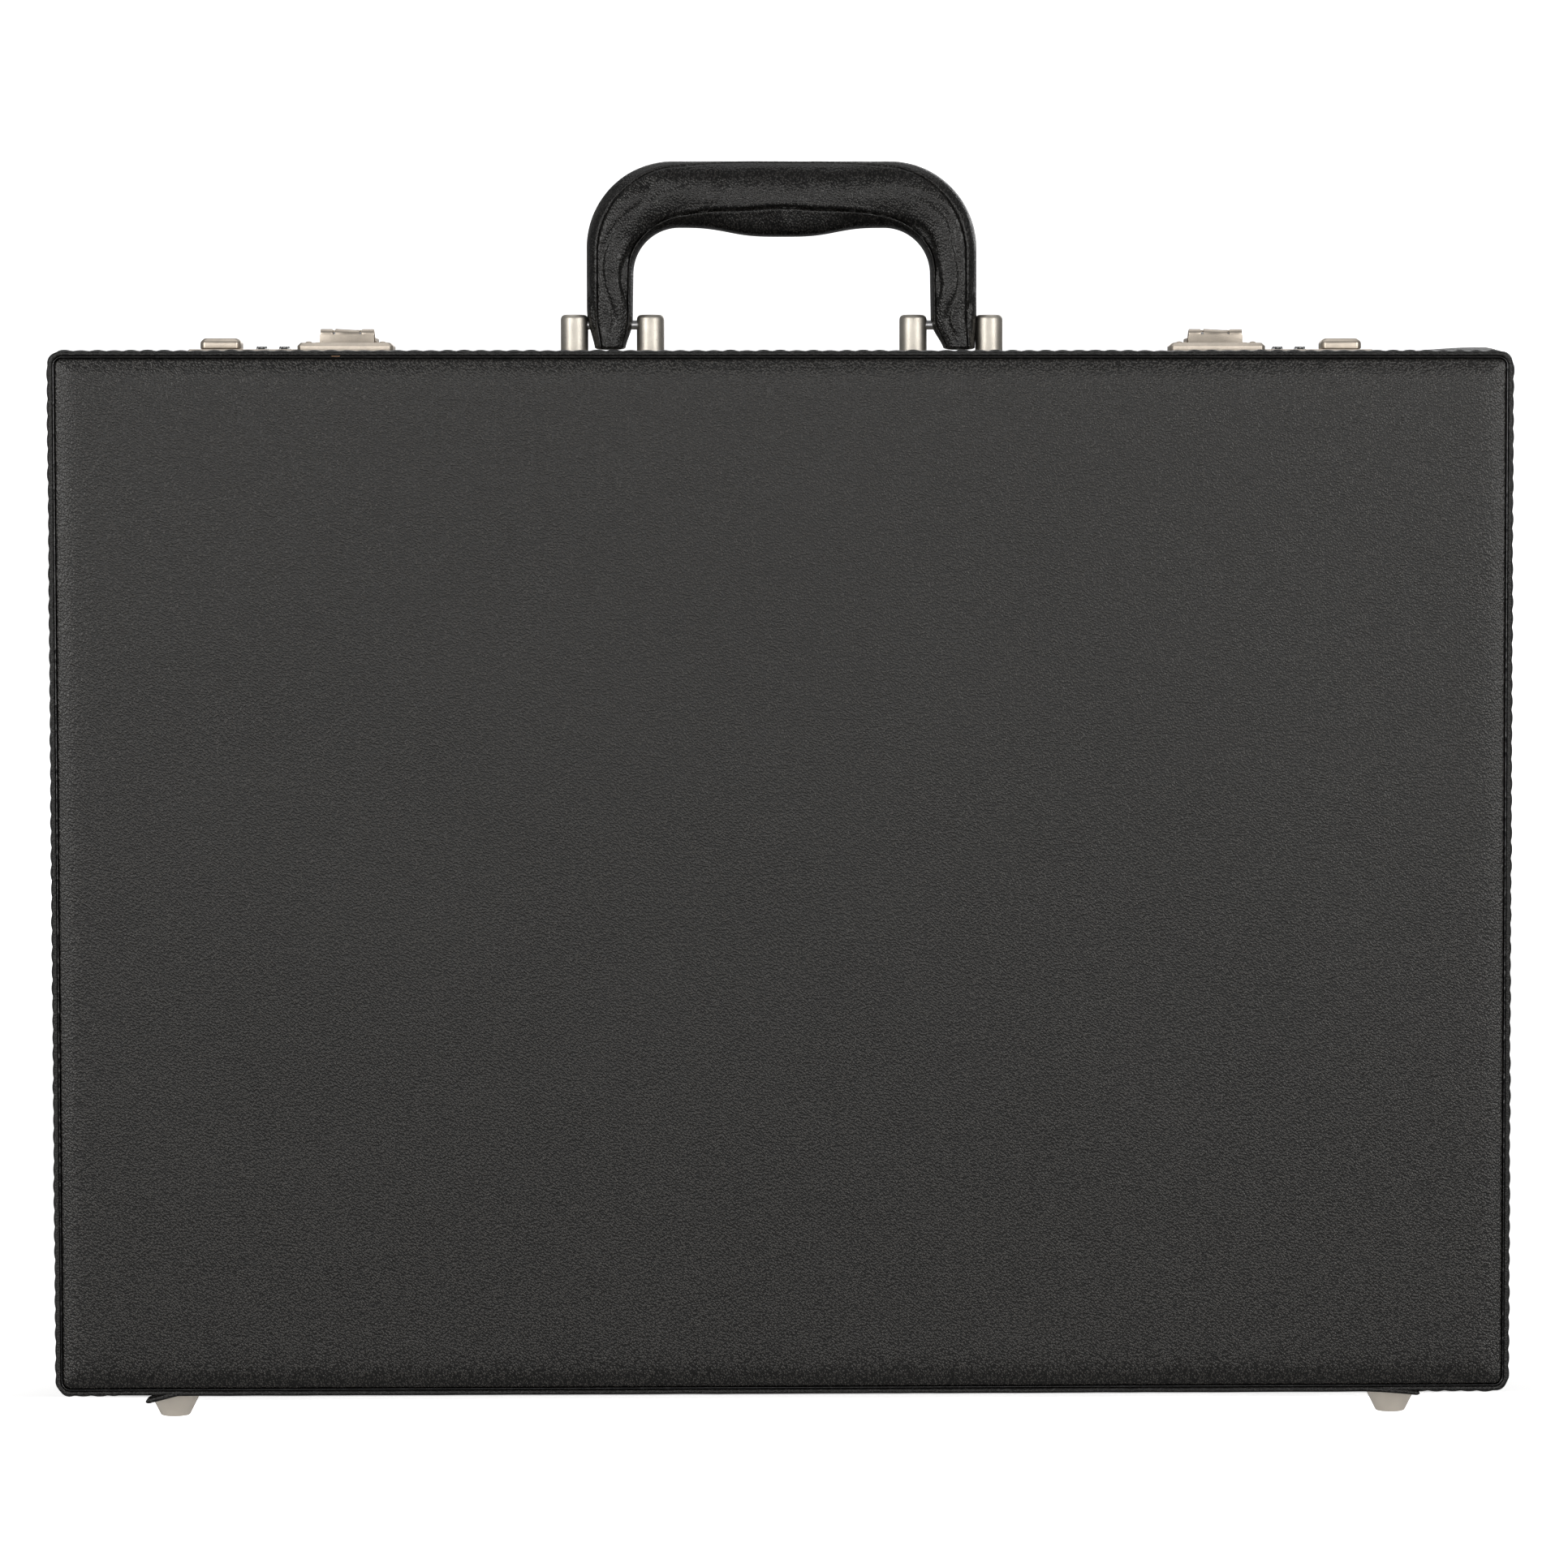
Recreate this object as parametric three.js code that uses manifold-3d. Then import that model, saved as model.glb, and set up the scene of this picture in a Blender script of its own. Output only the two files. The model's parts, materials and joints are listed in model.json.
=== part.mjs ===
// An attache case: two covered shells hinged along the bottom, standing on four feet with its handle up.
// Millimetres. +Z is up, +X to the right and +Y to the back. The lid is the front shell.
// The origin is on the resting plane, under the middle of the case.
import * as THREE from "three";
import { mergeVertices } from "three/addons/utils/BufferGeometryUtils.js";
import Module from "manifold-3d";

const wasm = await Module();
wasm.setup();

// ---- Driving dimensions ----
const WIDTH = 450; // case body along X
const HEIGHT = 322; // case body along Z
const DEPTH = 100; // both shells together along Y
const PARTING_Y = -10; // where lid and base meet
const CORNER_R = 4.5; // outer corner radius of the body seen from the front
const CORNER_STEPS = 4; // segments in each rounded corner
const FOOT_H = 8;
const GAP = 0.3; // clearance between pieces that don't touch
const WALL = 4; // thickness of the covered wall boards

const BOTTOM_Z = FOOT_H; // underside of the body
const TOP_Z = BOTTOM_Z + HEIGHT; // top wall, which carries handle and locks
const MID_Z = (BOTTOM_Z + TOP_Z) / 2;
const FRONT_Y = -DEPTH / 2;
const BACK_Y = DEPTH / 2;

// ---- Materials ----
const material = (color, roughness, metalness) =>
  new THREE.MeshStandardMaterial({ color, roughness, metalness });
const leatherette = material(0x2b2a29, 0.55, 0);
const bindingTape = material(0x232324, 0.5, 0);
const aluminium = material(0xb8b9ba, 0.35, 0.9);
const nickel = material(0xc8bdae, 0.42, 0.85);
const steel = material(0xb0b0b0, 0.35, 0.95);
const silverPlastic = material(0xa39a8e, 0.5, 0.3);
const lining = material(0x2f3033, 0.95, 0);
const blackPlastic = material(0x181818, 0.5, 0);

// ---- Booleans ----
// A closed three.js geometry as a manifold-3d solid.
function solid(geometry) {
  const bare = geometry.clone();
  bare.deleteAttribute("normal");
  bare.deleteAttribute("uv");
  const merged = mergeVertices(bare, 1e-4);
  const index = merged.index.array;
  const positions = merged.attributes.position.array;
  return new wasm.Manifold(
    new wasm.Mesh({ numProp: 3, vertProperties: positions, triVerts: new Uint32Array(index) }),
  );
}

const joined = (first, ...rest) => rest.reduce((a, b) => a.add(b), first);
const cut = (first, ...rest) => rest.reduce((a, b) => a.subtract(b), first);

function geometryOf(manifold) {
  const mesh = manifold.getMesh();
  const positions = new Float32Array(mesh.numVert * 3);
  for (let i = 0; i < mesh.numVert; i++)
    for (let k = 0; k < 3; k++) positions[i * 3 + k] = mesh.vertProperties[i * mesh.numProp + k];
  const geometry = new THREE.BufferGeometry();
  geometry.setAttribute("position", new THREE.BufferAttribute(positions, 3));
  geometry.setIndex(new THREE.BufferAttribute(mesh.triVerts, 1));
  geometry.computeVertexNormals();
  return geometry;
}

// ---- Shapes ----
const box = (x0, x1, y0, y1, z0, z1) =>
  solid(
    new THREE.BoxGeometry(x1 - x0, y1 - y0, z1 - z0).translate(
      (x0 + x1) / 2,
      (y0 + y1) / 2,
      (z0 + z1) / 2,
    ),
  );

// A round bar along X from x0 to x1.
const barX = (radius, x0, x1, y, z, sides = 16) =>
  solid(
    new THREE.CylinderGeometry(radius, radius, x1 - x0, sides)
      .rotateZ(Math.PI / 2)
      .translate((x0 + x1) / 2, y, z),
  );

// A profile turned about a vertical axis at (x, y). Points are [radius, z], from the axis to the axis.
const turned = (points, x, y, sides = 24) =>
  solid(
    new THREE.LatheGeometry(
      points.map(([r, z]) => new THREE.Vector2(r, z)),
      sides,
    )
      .rotateX(Math.PI / 2)
      .translate(x, y, 0),
  );

const flat = (shape, depth, curveSegments = 6) =>
  new THREE.ExtrudeGeometry(shape, { depth, bevelEnabled: false, curveSegments });

const shapeOf = (points) => new THREE.Shape(points.map(([a, b]) => new THREE.Vector2(a, b)));

// A front outline (x, z) made thick from y0 to y1.
const alongY = (shape, y0, y1, curveSegments) =>
  solid(flat(shape, y1 - y0, curveSegments).rotateX(Math.PI / 2).translate(0, y1, 0));

// A side outline (y, z) made thick from x0 to x1.
function alongX(shape, x0, x1, curveSegments) {
  const turn = new THREE.Matrix4().makeBasis(
    new THREE.Vector3(0, 1, 0),
    new THREE.Vector3(0, 0, 1),
    new THREE.Vector3(1, 0, 0),
  );
  return solid(flat(shape, x1 - x0, curveSegments).applyMatrix4(turn).translate(x0, 0, 0));
}

// The body's front outline, moved inwards by inset, as a counter-clockwise list of [x, z].
function bodyOutline(inset) {
  const radius = Math.max(CORNER_R - inset, 0.25);
  const halfW = WIDTH / 2 - inset - radius;
  const halfH = HEIGHT / 2 - inset - radius;
  const corners = [
    [halfW, halfH, 0],
    [-halfW, halfH, 90],
    [-halfW, -halfH, 180],
    [halfW, -halfH, 270],
  ];
  const points = [];
  for (const [cx, cz, startDeg] of corners)
    for (let i = 0; i <= CORNER_STEPS; i++) {
      const angle = THREE.MathUtils.degToRad(startDeg + (90 * i) / CORNER_STEPS);
      points.push([cx + radius * Math.cos(angle), MID_Z + cz + radius * Math.sin(angle)]);
    }
  return points;
}

// Faces between rings of equally many points. Each ring is a list of [x, y, z]. The rings either
// close on themselves, as in a frame, or end in two flat convex caps.
function loft(rings, closed) {
  const n = rings[0].length;
  const positions = rings.flat(2);
  const index = [];
  const spans = closed ? rings.length : rings.length - 1;
  for (let r = 0; r < spans; r++) {
    const a = r * n;
    const b = ((r + 1) % rings.length) * n;
    for (let i = 0; i < n; i++) {
      const j = (i + 1) % n;
      index.push(a + i, a + j, b + j, a + i, b + j, b + i);
    }
  }
  const last = (rings.length - 1) * n;
  if (!closed)
    for (let i = 1; i < n - 1; i++) index.push(0, i + 1, i, last, last + i, last + i + 1);
  const geometry = new THREE.BufferGeometry();
  geometry.setAttribute("position", new THREE.Float32BufferAttribute(positions, 3));
  geometry.setIndex(index);
  const made = solid(geometry);
  if (made.volume() > 0) return made;
  geometry.setIndex(index.map((_, k) => index[k - (k % 3) + 2 - (k % 3)]));
  return solid(geometry);
}

const bodyRing = ([inset, y]) => bodyOutline(inset).map(([x, z]) => [x, y, z]);

// A frame that follows the body's outline. The profile is a closed list of [inset, y].
const frame = (profile) => loft(profile.map(bodyRing), true);

// A plate that follows the body's outline, from a list of [inset, y].
const plate = (profile) => loft(profile.map(bodyRing), false);

// A block on the top wall with cut corners and a chamfered top edge.
function chamferedBlock(x0, x1, y0, y1, z0, z1, chamfer) {
  const ring = (inset, z) => {
    const [l, r, f, b] = [x0 + inset, x1 - inset, y0 + inset, y1 - inset];
    const c = chamfer;
    return [
      [r, b - c, z],
      [r - c, b, z],
      [l + c, b, z],
      [l, b - c, z],
      [l, f + c, z],
      [l + c, f, z],
      [r - c, f, z],
      [r, f + c, z],
    ];
  };
  return loft([ring(0, z0), ring(0, z1 - chamfer), ring(chamfer, z1)], false);
}

// ---- The scene graph ----
const attacheCase = new THREE.Group();
function add(name, manifold, finish) {
  const mesh = new THREE.Mesh(geometryOf(manifold), finish);
  mesh.name = name;
  attacheCase.add(mesh);
}

const SIDES = [
  ["left", -1],
  ["right", 1],
];

// ---- Shells ----
const PANEL_BACK = 3.4; // from a shell's face to the back of its padded panel
const PANEL_CROWN = 0.9; // how far the padding stands proud of the binding
const GROOVE = 0.7; // dark line between binding and panel
const BINDING = 1.6; // width of the binding seen from the front
const BINDING_DEPTH = 6;
const PUCKER = 0.6; // how far the sewn binding stands out from the walls
const VALANCE = 3.8; // metal strip at each shell's opening edge
const VALANCE_WALL = 4.3;
const LINING = 1;

// Depths are given from a shell's outer face inwards, so that one function makes both shells.
function shellPieces(faceY, inwards, edgeY) {
  const at = (depth) => faceY + inwards * depth;
  const wallEnd = edgeY - inwards * (VALANCE + GAP);
  const lip = BINDING + GAP;
  const bindingEnd = BINDING_DEPTH + GAP;
  const panelInset = BINDING + GROOVE;
  const wall = frame([
    [0, at(bindingEnd)],
    [0, wallEnd],
    [WALL, wallEnd],
    [WALL, at(PANEL_BACK + GAP)],
    [lip, at(PANEL_BACK + GAP)],
    [lip, at(bindingEnd)],
  ]);
  const binding = frame([
    [0, at(0)],
    [-PUCKER, at(1.2)],
    [-PUCKER, at(BINDING_DEPTH - 1.2)],
    [0, at(BINDING_DEPTH)],
    [BINDING, at(BINDING_DEPTH)],
    [BINDING, at(0)],
  ]);
  const panel = plate([
    [panelInset, at(PANEL_BACK)],
    [panelInset, at(0.7)],
    [panelInset + 1, at(-0.1)],
    [panelInset + 7, at(-0.6)],
    [panelInset + 20, at(-PANEL_CROWN)],
  ]);
  const liningOuter = WALL + GAP;
  const liningEnd = wallEnd;
  const floor = at(PANEL_BACK + GAP);
  const tray = cut(
    plate([
      [liningOuter, floor],
      [liningOuter, liningEnd],
    ]),
    plate([
      [liningOuter + LINING, floor + inwards * LINING],
      [liningOuter + LINING, liningEnd + inwards],
    ]),
  );
  return { wall, binding, panel, tray };
}

const lidEdge = PARTING_Y - GAP / 2;
const baseEdge = PARTING_Y + GAP / 2;
const lid = shellPieces(FRONT_Y, 1, lidEdge);
const base = shellPieces(BACK_Y, -1, baseEdge);

// The aluminium edge strips: a tongue on the base enters a groove in the lid on three sides.
const TONGUE = 2;
const TONGUE_INSET = 1.8;
const TONGUE_WIDE = 1;
function lidValance() {
  const grooveLow = TONGUE_INSET - 0.6;
  const grooveHigh = TONGUE_INSET + TONGUE_WIDE + 0.6;
  const floor = lidEdge - TONGUE - 0.6;
  return frame([
    [0, lidEdge],
    [0, lidEdge - VALANCE],
    [VALANCE_WALL, lidEdge - VALANCE],
    [VALANCE_WALL, lidEdge],
    [grooveHigh, lidEdge],
    [grooveHigh, floor],
    [grooveLow, floor],
    [grooveLow, lidEdge],
  ]);
}
function baseValance() {
  const tongueEnd = TONGUE_INSET + TONGUE_WIDE;
  const strip = frame([
    [0, baseEdge],
    [TONGUE_INSET, baseEdge],
    [TONGUE_INSET, baseEdge - TONGUE],
    [tongueEnd, baseEdge - TONGUE],
    [tongueEnd, baseEdge],
    [VALANCE_WALL, baseEdge],
    [VALANCE_WALL, baseEdge + VALANCE],
    [0, baseEdge + VALANCE],
  ]);
  const NEAR_HINGE = 12; // no tongue this close to the hinge side
  const halfW = WIDTH / 2 + 1;
  return cut(
    strip,
    box(-halfW, halfW, baseEdge - TONGUE - 1, baseEdge, BOTTOM_Z - 1, BOTTOM_Z + NEAR_HINGE),
  );
}

// The binding is cut away along the middle of the hinge side, where a separate strip covers it.
const STRIP_HALF = 186; // half length of the strip where it lies in the binding's place
const STRIP_TAIL = 197.5; // where the strip's loose ends stop
const TAIL_DROP = 2; // how far a loose end hangs away from the binding
const TAIL_THICK = 1.5;
function bindingWithGap(binding, faceY, inwards) {
  const [y0, y1] = [faceY - inwards, faceY + inwards * (BINDING_DEPTH + 1)].sort((a, b) => a - b);
  return cut(binding, box(-STRIP_HALF, STRIP_HALF, y0, y1, BOTTOM_Z - 2, BOTTOM_Z + 2));
}
function bottomStrip(faceY, inwards, drop) {
  const half = STRIP_HALF - GAP;
  const under = BOTTOM_Z - PUCKER;
  const tail = (side) => [
    [side * half, under - GAP],
    [side * (half + 3), under - GAP - drop * 0.25],
    [side * STRIP_TAIL, under - GAP - drop],
    [side * (STRIP_TAIL - 1), under - GAP - drop - TAIL_THICK],
    [side * (half - 1), under - TAIL_THICK * 0.7],
    [side * (half - 12), under],
  ];
  const [y0, y1] = [faceY + inwards * 0.1, faceY + inwards * BINDING_DEPTH].sort((a, b) => a - b);
  const outline = [
    [-half, BOTTOM_Z + BINDING],
    ...tail(-1),
    ...tail(1).reverse(),
    [half, BOTTOM_Z + BINDING],
  ];
  return alongY(shapeOf(outline), y0, y1);
}

// ---- Locks ----
// x is given from the case's middle outwards; the right lock is the left one mirrored.
const LOCK_Y = 2.8; // centre line of the dials
const PLATE_IN = 122.7;
const PLATE_OUT = 185.7;
const PLATE_FRONT = baseEdge + 0.25;
const PLATE_BACK = 15;
const PLATE_T = 1.4;
const HASP_X = 135.4; // centre of the hasp
const DIAL_R = 6;
const DIAL_W = 3.5;
const DIAL_AXIS = TOP_Z - 3.3;
const DIALS = [149.1, 156.2, 163.3];
const BUTTON = { in: 169.6, out: 182.3, stemIn: 173.9, stemOut: 178.3, halfY: 6, low: 1.6, high: 5 };
const RECEIVER_H = 3.6; // top of the block that the hasp closes on
const HOUSING = { in: 122.6, out: 185, front: -5, back: 13, low: 10.6, wall: 0.8 };
const SPINDLE_R = 1.4;
const CHANNEL = 4.5; // half width of the way in for the hasp's tongue
const BUTTON_TRAVEL = 3; // outwards, to release

// Mirrors a [inner, outer] span from the middle to the wanted side, as [x0, x1].
const span = (side, inner, outer) => (side > 0 ? [inner, outer] : [-outer, -inner]);
const sideBox = (side, inner, outer, y0, y1, z0, z1) =>
  box(...span(side, inner, outer), y0, y1, TOP_Z + z0, TOP_Z + z1);

const lockCutout = (side) =>
  sideBox(side, HOUSING.in - 0.4, HOUSING.out + 0.4, PARTING_Y + 3.5, HOUSING.back + 0.4, -6, 1);

function lockPlate(side) {
  const slotHalf = DIAL_W / 2 + 0.35;
  const slotY = 5.5;
  const blank = joined(
    chamferedBlock(
      ...span(side, PLATE_IN, PLATE_OUT),
      PLATE_FRONT,
      PLATE_BACK,
      TOP_Z,
      TOP_Z + PLATE_T,
      0.5,
    ),
    chamferedBlock(
      ...span(side, PLATE_IN, HASP_X + 10.9),
      PLATE_FRONT,
      PLATE_BACK - 1.5,
      TOP_Z + 0.5,
      TOP_Z + RECEIVER_H,
      0.6,
    ),
  );
  const dialSlots = DIALS.map((x) =>
    sideBox(side, x - slotHalf, x + slotHalf, LOCK_Y - slotY, LOCK_Y + slotY, -1, 4),
  );
  const channel = sideBox(side, HASP_X - CHANNEL, HASP_X + CHANNEL, PLATE_FRONT - 1, 8, -1, 5);
  const boltWay = sideBox(side, HASP_X - 3, HASP_X + 8.6, 2.4, 7.6, -1, 2.9);
  const stemSlot = sideBox(
    side,
    BUTTON.stemIn - 0.4,
    BUTTON.stemOut + BUTTON_TRAVEL + 0.4,
    LOCK_Y - 3.2,
    LOCK_Y + 3.2,
    -1,
    3,
  );
  return cut(blank, ...dialSlots, channel, boltWay, stemSlot);
}

function lockHousing(side) {
  const { in: near, out, front, back, low, wall } = HOUSING;
  const shell = cut(
    sideBox(side, near, out, front, back, -low, -GAP),
    sideBox(side, near + wall, out - wall, front + wall, back - wall, -low + wall, 1),
  );
  const rib = (x) => sideBox(side, x, x + 1.2, front + wall / 2, LOCK_Y + 6, -low + wall / 2, -1);
  const ribbed = joined(shell, rib(DIALS[0] - 4.2), rib(DIALS[2] + 3));
  const bore = barX(SPINDLE_R + GAP, ...span(side, DIALS[0] - 5, DIALS[2] + 5), LOCK_Y, DIAL_AXIS);
  return cut(ribbed, bore);
}

const lockSpindle = (side) =>
  barX(SPINDLE_R, ...span(side, DIALS[0] - 4.4, DIALS[2] + 4.4), LOCK_Y, DIAL_AXIS, 12);

function lockDial(side, x) {
  const ends = span(side, x - DIAL_W / 2, x + DIAL_W / 2);
  return cut(
    barX(DIAL_R, ...ends, LOCK_Y, DIAL_AXIS, 20),
    barX(SPINDLE_R + 0.4, ends[0] - 1, ends[1] + 1, LOCK_Y, DIAL_AXIS, 10),
  );
}

function lockButton(side) {
  const { in: near, out, stemIn, stemOut, halfY, low, high } = BUTTON;
  const ends = span(side, near, out);
  const cap = chamferedBlock(
    ...ends,
    LOCK_Y - halfY,
    LOCK_Y + halfY,
    TOP_Z + low,
    TOP_Z + high,
    1.2,
  );
  return joined(cap, sideBox(side, stemIn, stemOut, LOCK_Y - 2.8, LOCK_Y + 2.8, -0.6, low + 0.2));
}

// The strip that the button pulls: its nose stands beside the hasp's tongue when locked.
const lockBolt = (side) =>
  joined(
    sideBox(side, BUTTON.stemIn, BUTTON.stemOut + 1.5, LOCK_Y - 2.8, 11.8, -2.6, -0.6),
    sideBox(side, HASP_X + 2.9, BUTTON.stemIn + 1, 9.4, 11.8, -2.6, -0.6),
    sideBox(side, HASP_X + 2.9, HASP_X + 4.5, 3, 11, -2.6, -0.6),
    sideBox(side, HASP_X + 2.9, HASP_X + 4.5, 3, 7, -1, 2.5),
  );

// ---- Hasps, on the lid. Both are alike, not mirrored. ----
const CARRIER = { half: 14.8, front: -27, back: lidEdge - 0.7, high: 3.1 };
const KNUCKLE = { y: -15, z: 5.9, r: 1.4 };
const EARS = [
  [-8.15, -4.55],
  [4.35, 8.15],
];
const MIDDLE_KNUCKLE = [-3.75, 3.85];
const RISER_HALF = 8.4;
const HASP_HALF = 8.2;
const HASP_PIN_R = 0.7;

function haspCarrier(x) {
  const { half, front, back, high } = CARRIER;
  const zk = TOP_Z + KNUCKLE.z;
  const block = chamferedBlock(x - half, x + half, front, back, TOP_Z, TOP_Z + high, 1);
  const foot = KNUCKLE.y - KNUCKLE.r;
  const riser = box(x - RISER_HALF, x + RISER_HALF, foot - 1.2, foot - GAP, TOP_Z + 2, zk - 0.1);
  const ears = EARS.map(([a, b]) =>
    joined(
      barX(KNUCKLE.r, x + a, x + b, KNUCKLE.y, zk),
      box(x + a, x + b, foot - 0.6, KNUCKLE.y + KNUCKLE.r, TOP_Z + 2, zk),
    ),
  );
  const bore = barX(HASP_PIN_R + GAP, x - 9, x + 9, KNUCKLE.y, zk, 10);
  return cut(joined(block, riser, ...ears), bore);
}

const haspPin = (x) =>
  barX(HASP_PIN_R, x + EARS[0][0] + 0.1, x + EARS[1][1] - 0.1, KNUCKLE.y, TOP_Z + KNUCKLE.z, 10);

function hasp(x) {
  const zk = TOP_Z + KNUCKLE.z;
  const top = zk + KNUCKLE.r;
  const t = 1.2;
  const low = TOP_Z + RECEIVER_H + GAP;
  const strap = shapeOf([
    [KNUCKLE.y + 1.8, top],
    [KNUCKLE.y + 1.8, top - t],
    [-11, top - t],
    [-7.2, low],
    [12.6, low],
    [12.6, low + 0.7],
    [11.6, low + t],
    [-6.6, low + t],
    [-10.5, top],
  ]);
  const neck = shapeOf([
    [KNUCKLE.y, top],
    [KNUCKLE.y, top - t],
    [-12.4, top - t],
    [-12.4, top],
  ]);
  const [k0, k1] = MIDDLE_KNUCKLE;
  const body = joined(
    alongX(strap, x - HASP_HALF, x + HASP_HALF),
    alongX(neck, x + k0, x + k1),
    barX(KNUCKLE.r, x + k0, x + k1, KNUCKLE.y, zk),
    box(x - 2, x + 2, 4, 6, TOP_Z + 0.5, low + 0.4),
  );
  return cut(body, barX(HASP_PIN_R + GAP, x - 9, x + 9, KNUCKLE.y, zk, 10));
}

// ---- Handle ----
const HANDLE_Y = 12;
const HANDLE_X = 53.5; // middle of each pair of posts
const POST_HALF = 12; // from there to a post's centre
const POST_R = 4.35;
const POST_H = 12.7;
const PIVOT_H = 9.5; // pivot height above the top wall
const PIVOT_R = 1.5;
const GRIP = { top: 61, outer: 61.7, cornerR: 27.3, halfT: 8.5, bevel: 4 };
const LEG_END_R = 7.4; // the legs' round ends, seen from the side
const CORE_T = 3;
const CORE_HALF = 4;

function handleBracket(side) {
  const cx = side * HANDLE_X;
  const post = (dx) =>
    turned(
      [
        [0, TOP_Z + 0.2],
        [POST_R, TOP_Z + 0.2],
        [POST_R, TOP_Z + POST_H - 1.5],
        [POST_R - 0.45, TOP_Z + POST_H - 0.45],
        [POST_R - 1.5, TOP_Z + POST_H],
        [0, TOP_Z + POST_H],
      ],
      cx + dx,
      HANDLE_Y,
      14,
    );
  const reach = POST_HALF + POST_R + 1;
  const foot = chamferedBlock(
    cx - reach,
    cx + reach,
    HANDLE_Y - 6,
    HANDLE_Y + 6,
    TOP_Z,
    TOP_Z + 0.9,
    0.4,
  );
  const bore = barX(PIVOT_R + GAP, cx - 30, cx + 30, HANDLE_Y, TOP_Z + PIVOT_H, 12);
  return cut(joined(foot, post(-POST_HALF), post(POST_HALF)), bore);
}

const handlePin = (side) =>
  barX(
    PIVOT_R,
    side * HANDLE_X - POST_HALF - 3.6,
    side * HANDLE_X + POST_HALF + 3.6,
    HANDLE_Y,
    TOP_Z + PIVOT_H,
    12,
  );

// The handle's front outline: straight legs, round shoulders and a swell under the fingers.
function gripOutline(inset) {
  const z = (h) => TOP_Z + h;
  const outer = GRIP.outer - inset;
  const top = GRIP.top - inset;
  const r = GRIP.cornerR - inset;
  const legIn = 46.6 + inset;
  const under = 40.2 + inset;
  const swell = 37.3 + inset;
  const innerR = 13;
  const toe = PIVOT_H - LEG_END_R - 0.4;
  const shape = new THREE.Shape();
  shape.moveTo(-outer + 1.5, z(toe));
  shape.lineTo(-outer, z(PIVOT_H + 8));
  shape.lineTo(-outer, z(top - r));
  shape.absarc(-outer + r, z(top - r), r, Math.PI, Math.PI / 2, true);
  shape.lineTo(outer - r, z(top));
  shape.absarc(outer - r, z(top - r), r, Math.PI / 2, 0, true);
  shape.lineTo(outer, z(PIVOT_H + 8));
  shape.lineTo(outer - 1.5, z(toe));
  shape.lineTo(legIn, z(toe));
  shape.lineTo(legIn, z(under - innerR));
  shape.absarc(legIn - innerR, z(under - innerR), innerR, 0, Math.PI / 2, false);
  shape.bezierCurveTo(22, z(under), 15, z(swell), 0, z(swell));
  shape.bezierCurveTo(-15, z(swell), -22, z(under), -legIn + innerR, z(under));
  shape.absarc(-legIn + innerR, z(under - innerR), innerR, Math.PI / 2, Math.PI, false);
  shape.lineTo(-legIn, z(toe));
  return shape;
}

// The handle seen from the side: legs with round ends that widen to the full grip.
function gripSide() {
  const z = (h) => TOP_Z + h;
  const shape = new THREE.Shape();
  shape.moveTo(HANDLE_Y + LEG_END_R, z(PIVOT_H));
  shape.lineTo(HANDLE_Y + GRIP.halfT, z(26));
  shape.lineTo(HANDLE_Y + GRIP.halfT, z(GRIP.top + 1));
  shape.lineTo(HANDLE_Y - GRIP.halfT, z(GRIP.top + 1));
  shape.lineTo(HANDLE_Y - GRIP.halfT, z(26));
  shape.lineTo(HANDLE_Y - LEG_END_R, z(PIVOT_H));
  shape.absarc(HANDLE_Y, z(PIVOT_H), LEG_END_R, Math.PI, 2 * Math.PI, false);
  return shape;
}

// The steel strip inside the grip, with an eye round each pivot. Extra makes room for it.
function handleCore(extra) {
  const mid = HANDLE_X;
  const half = CORE_T / 2 + extra;
  const barZ = 50.5;
  const z = (h) => TOP_Z + h;
  const r = 16;
  const shape = new THREE.Shape();
  shape.moveTo(-mid - half, z(PIVOT_H));
  shape.lineTo(-mid - half, z(barZ - r));
  shape.absarc(-mid + r, z(barZ - r), r + half, Math.PI, Math.PI / 2, true);
  shape.absarc(mid - r, z(barZ - r), r + half, Math.PI / 2, 0, true);
  shape.lineTo(mid + half, z(PIVOT_H));
  shape.lineTo(mid - half, z(PIVOT_H));
  shape.absarc(mid - r, z(barZ - r), r - half, 0, Math.PI / 2, false);
  shape.absarc(-mid + r, z(barZ - r), r - half, Math.PI / 2, Math.PI, false);
  shape.lineTo(-mid + half, z(PIVOT_H));
  const strip = alongY(shape, HANDLE_Y - CORE_HALF - extra, HANDLE_Y + CORE_HALF + extra, 5);
  const eyes = SIDES.map(([, s]) =>
    barX(3.6 + extra, s * mid - 4 - extra, s * mid + 4 + extra, HANDLE_Y, z(PIVOT_H), 12),
  );
  return joined(strip, ...eyes);
}

const pivotBores = (radius) =>
  SIDES.map(([, s]) =>
    barX(radius, s * HANDLE_X - 12, s * HANDLE_X + 12, HANDLE_Y, TOP_Z + PIVOT_H, 12),
  );

function handleGrip() {
  const depth = 2 * (GRIP.halfT - GRIP.bevel);
  const rounded = new THREE.ExtrudeGeometry(gripOutline(GRIP.bevel), {
    depth,
    bevelEnabled: true,
    bevelThickness: GRIP.bevel,
    bevelSize: GRIP.bevel,
    bevelSegments: 2,
    curveSegments: 6,
  })
    .rotateX(Math.PI / 2)
    .translate(0, HANDLE_Y + depth / 2, 0);
  const grip = solid(rounded).intersect(alongX(gripSide(), -70, 70, 8));
  return cut(grip, handleCore(GAP), ...pivotBores(PIVOT_R + 0.6));
}

// ---- Hinge along the bottom ----
const HINGE = { r: 1.8, y: PARTING_Y, z: BOTTOM_Z - 1.9, half: 204, knuckles: 9, leaf: 12, t: 1 };
const HINGE_PIN_R = 0.9;

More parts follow.
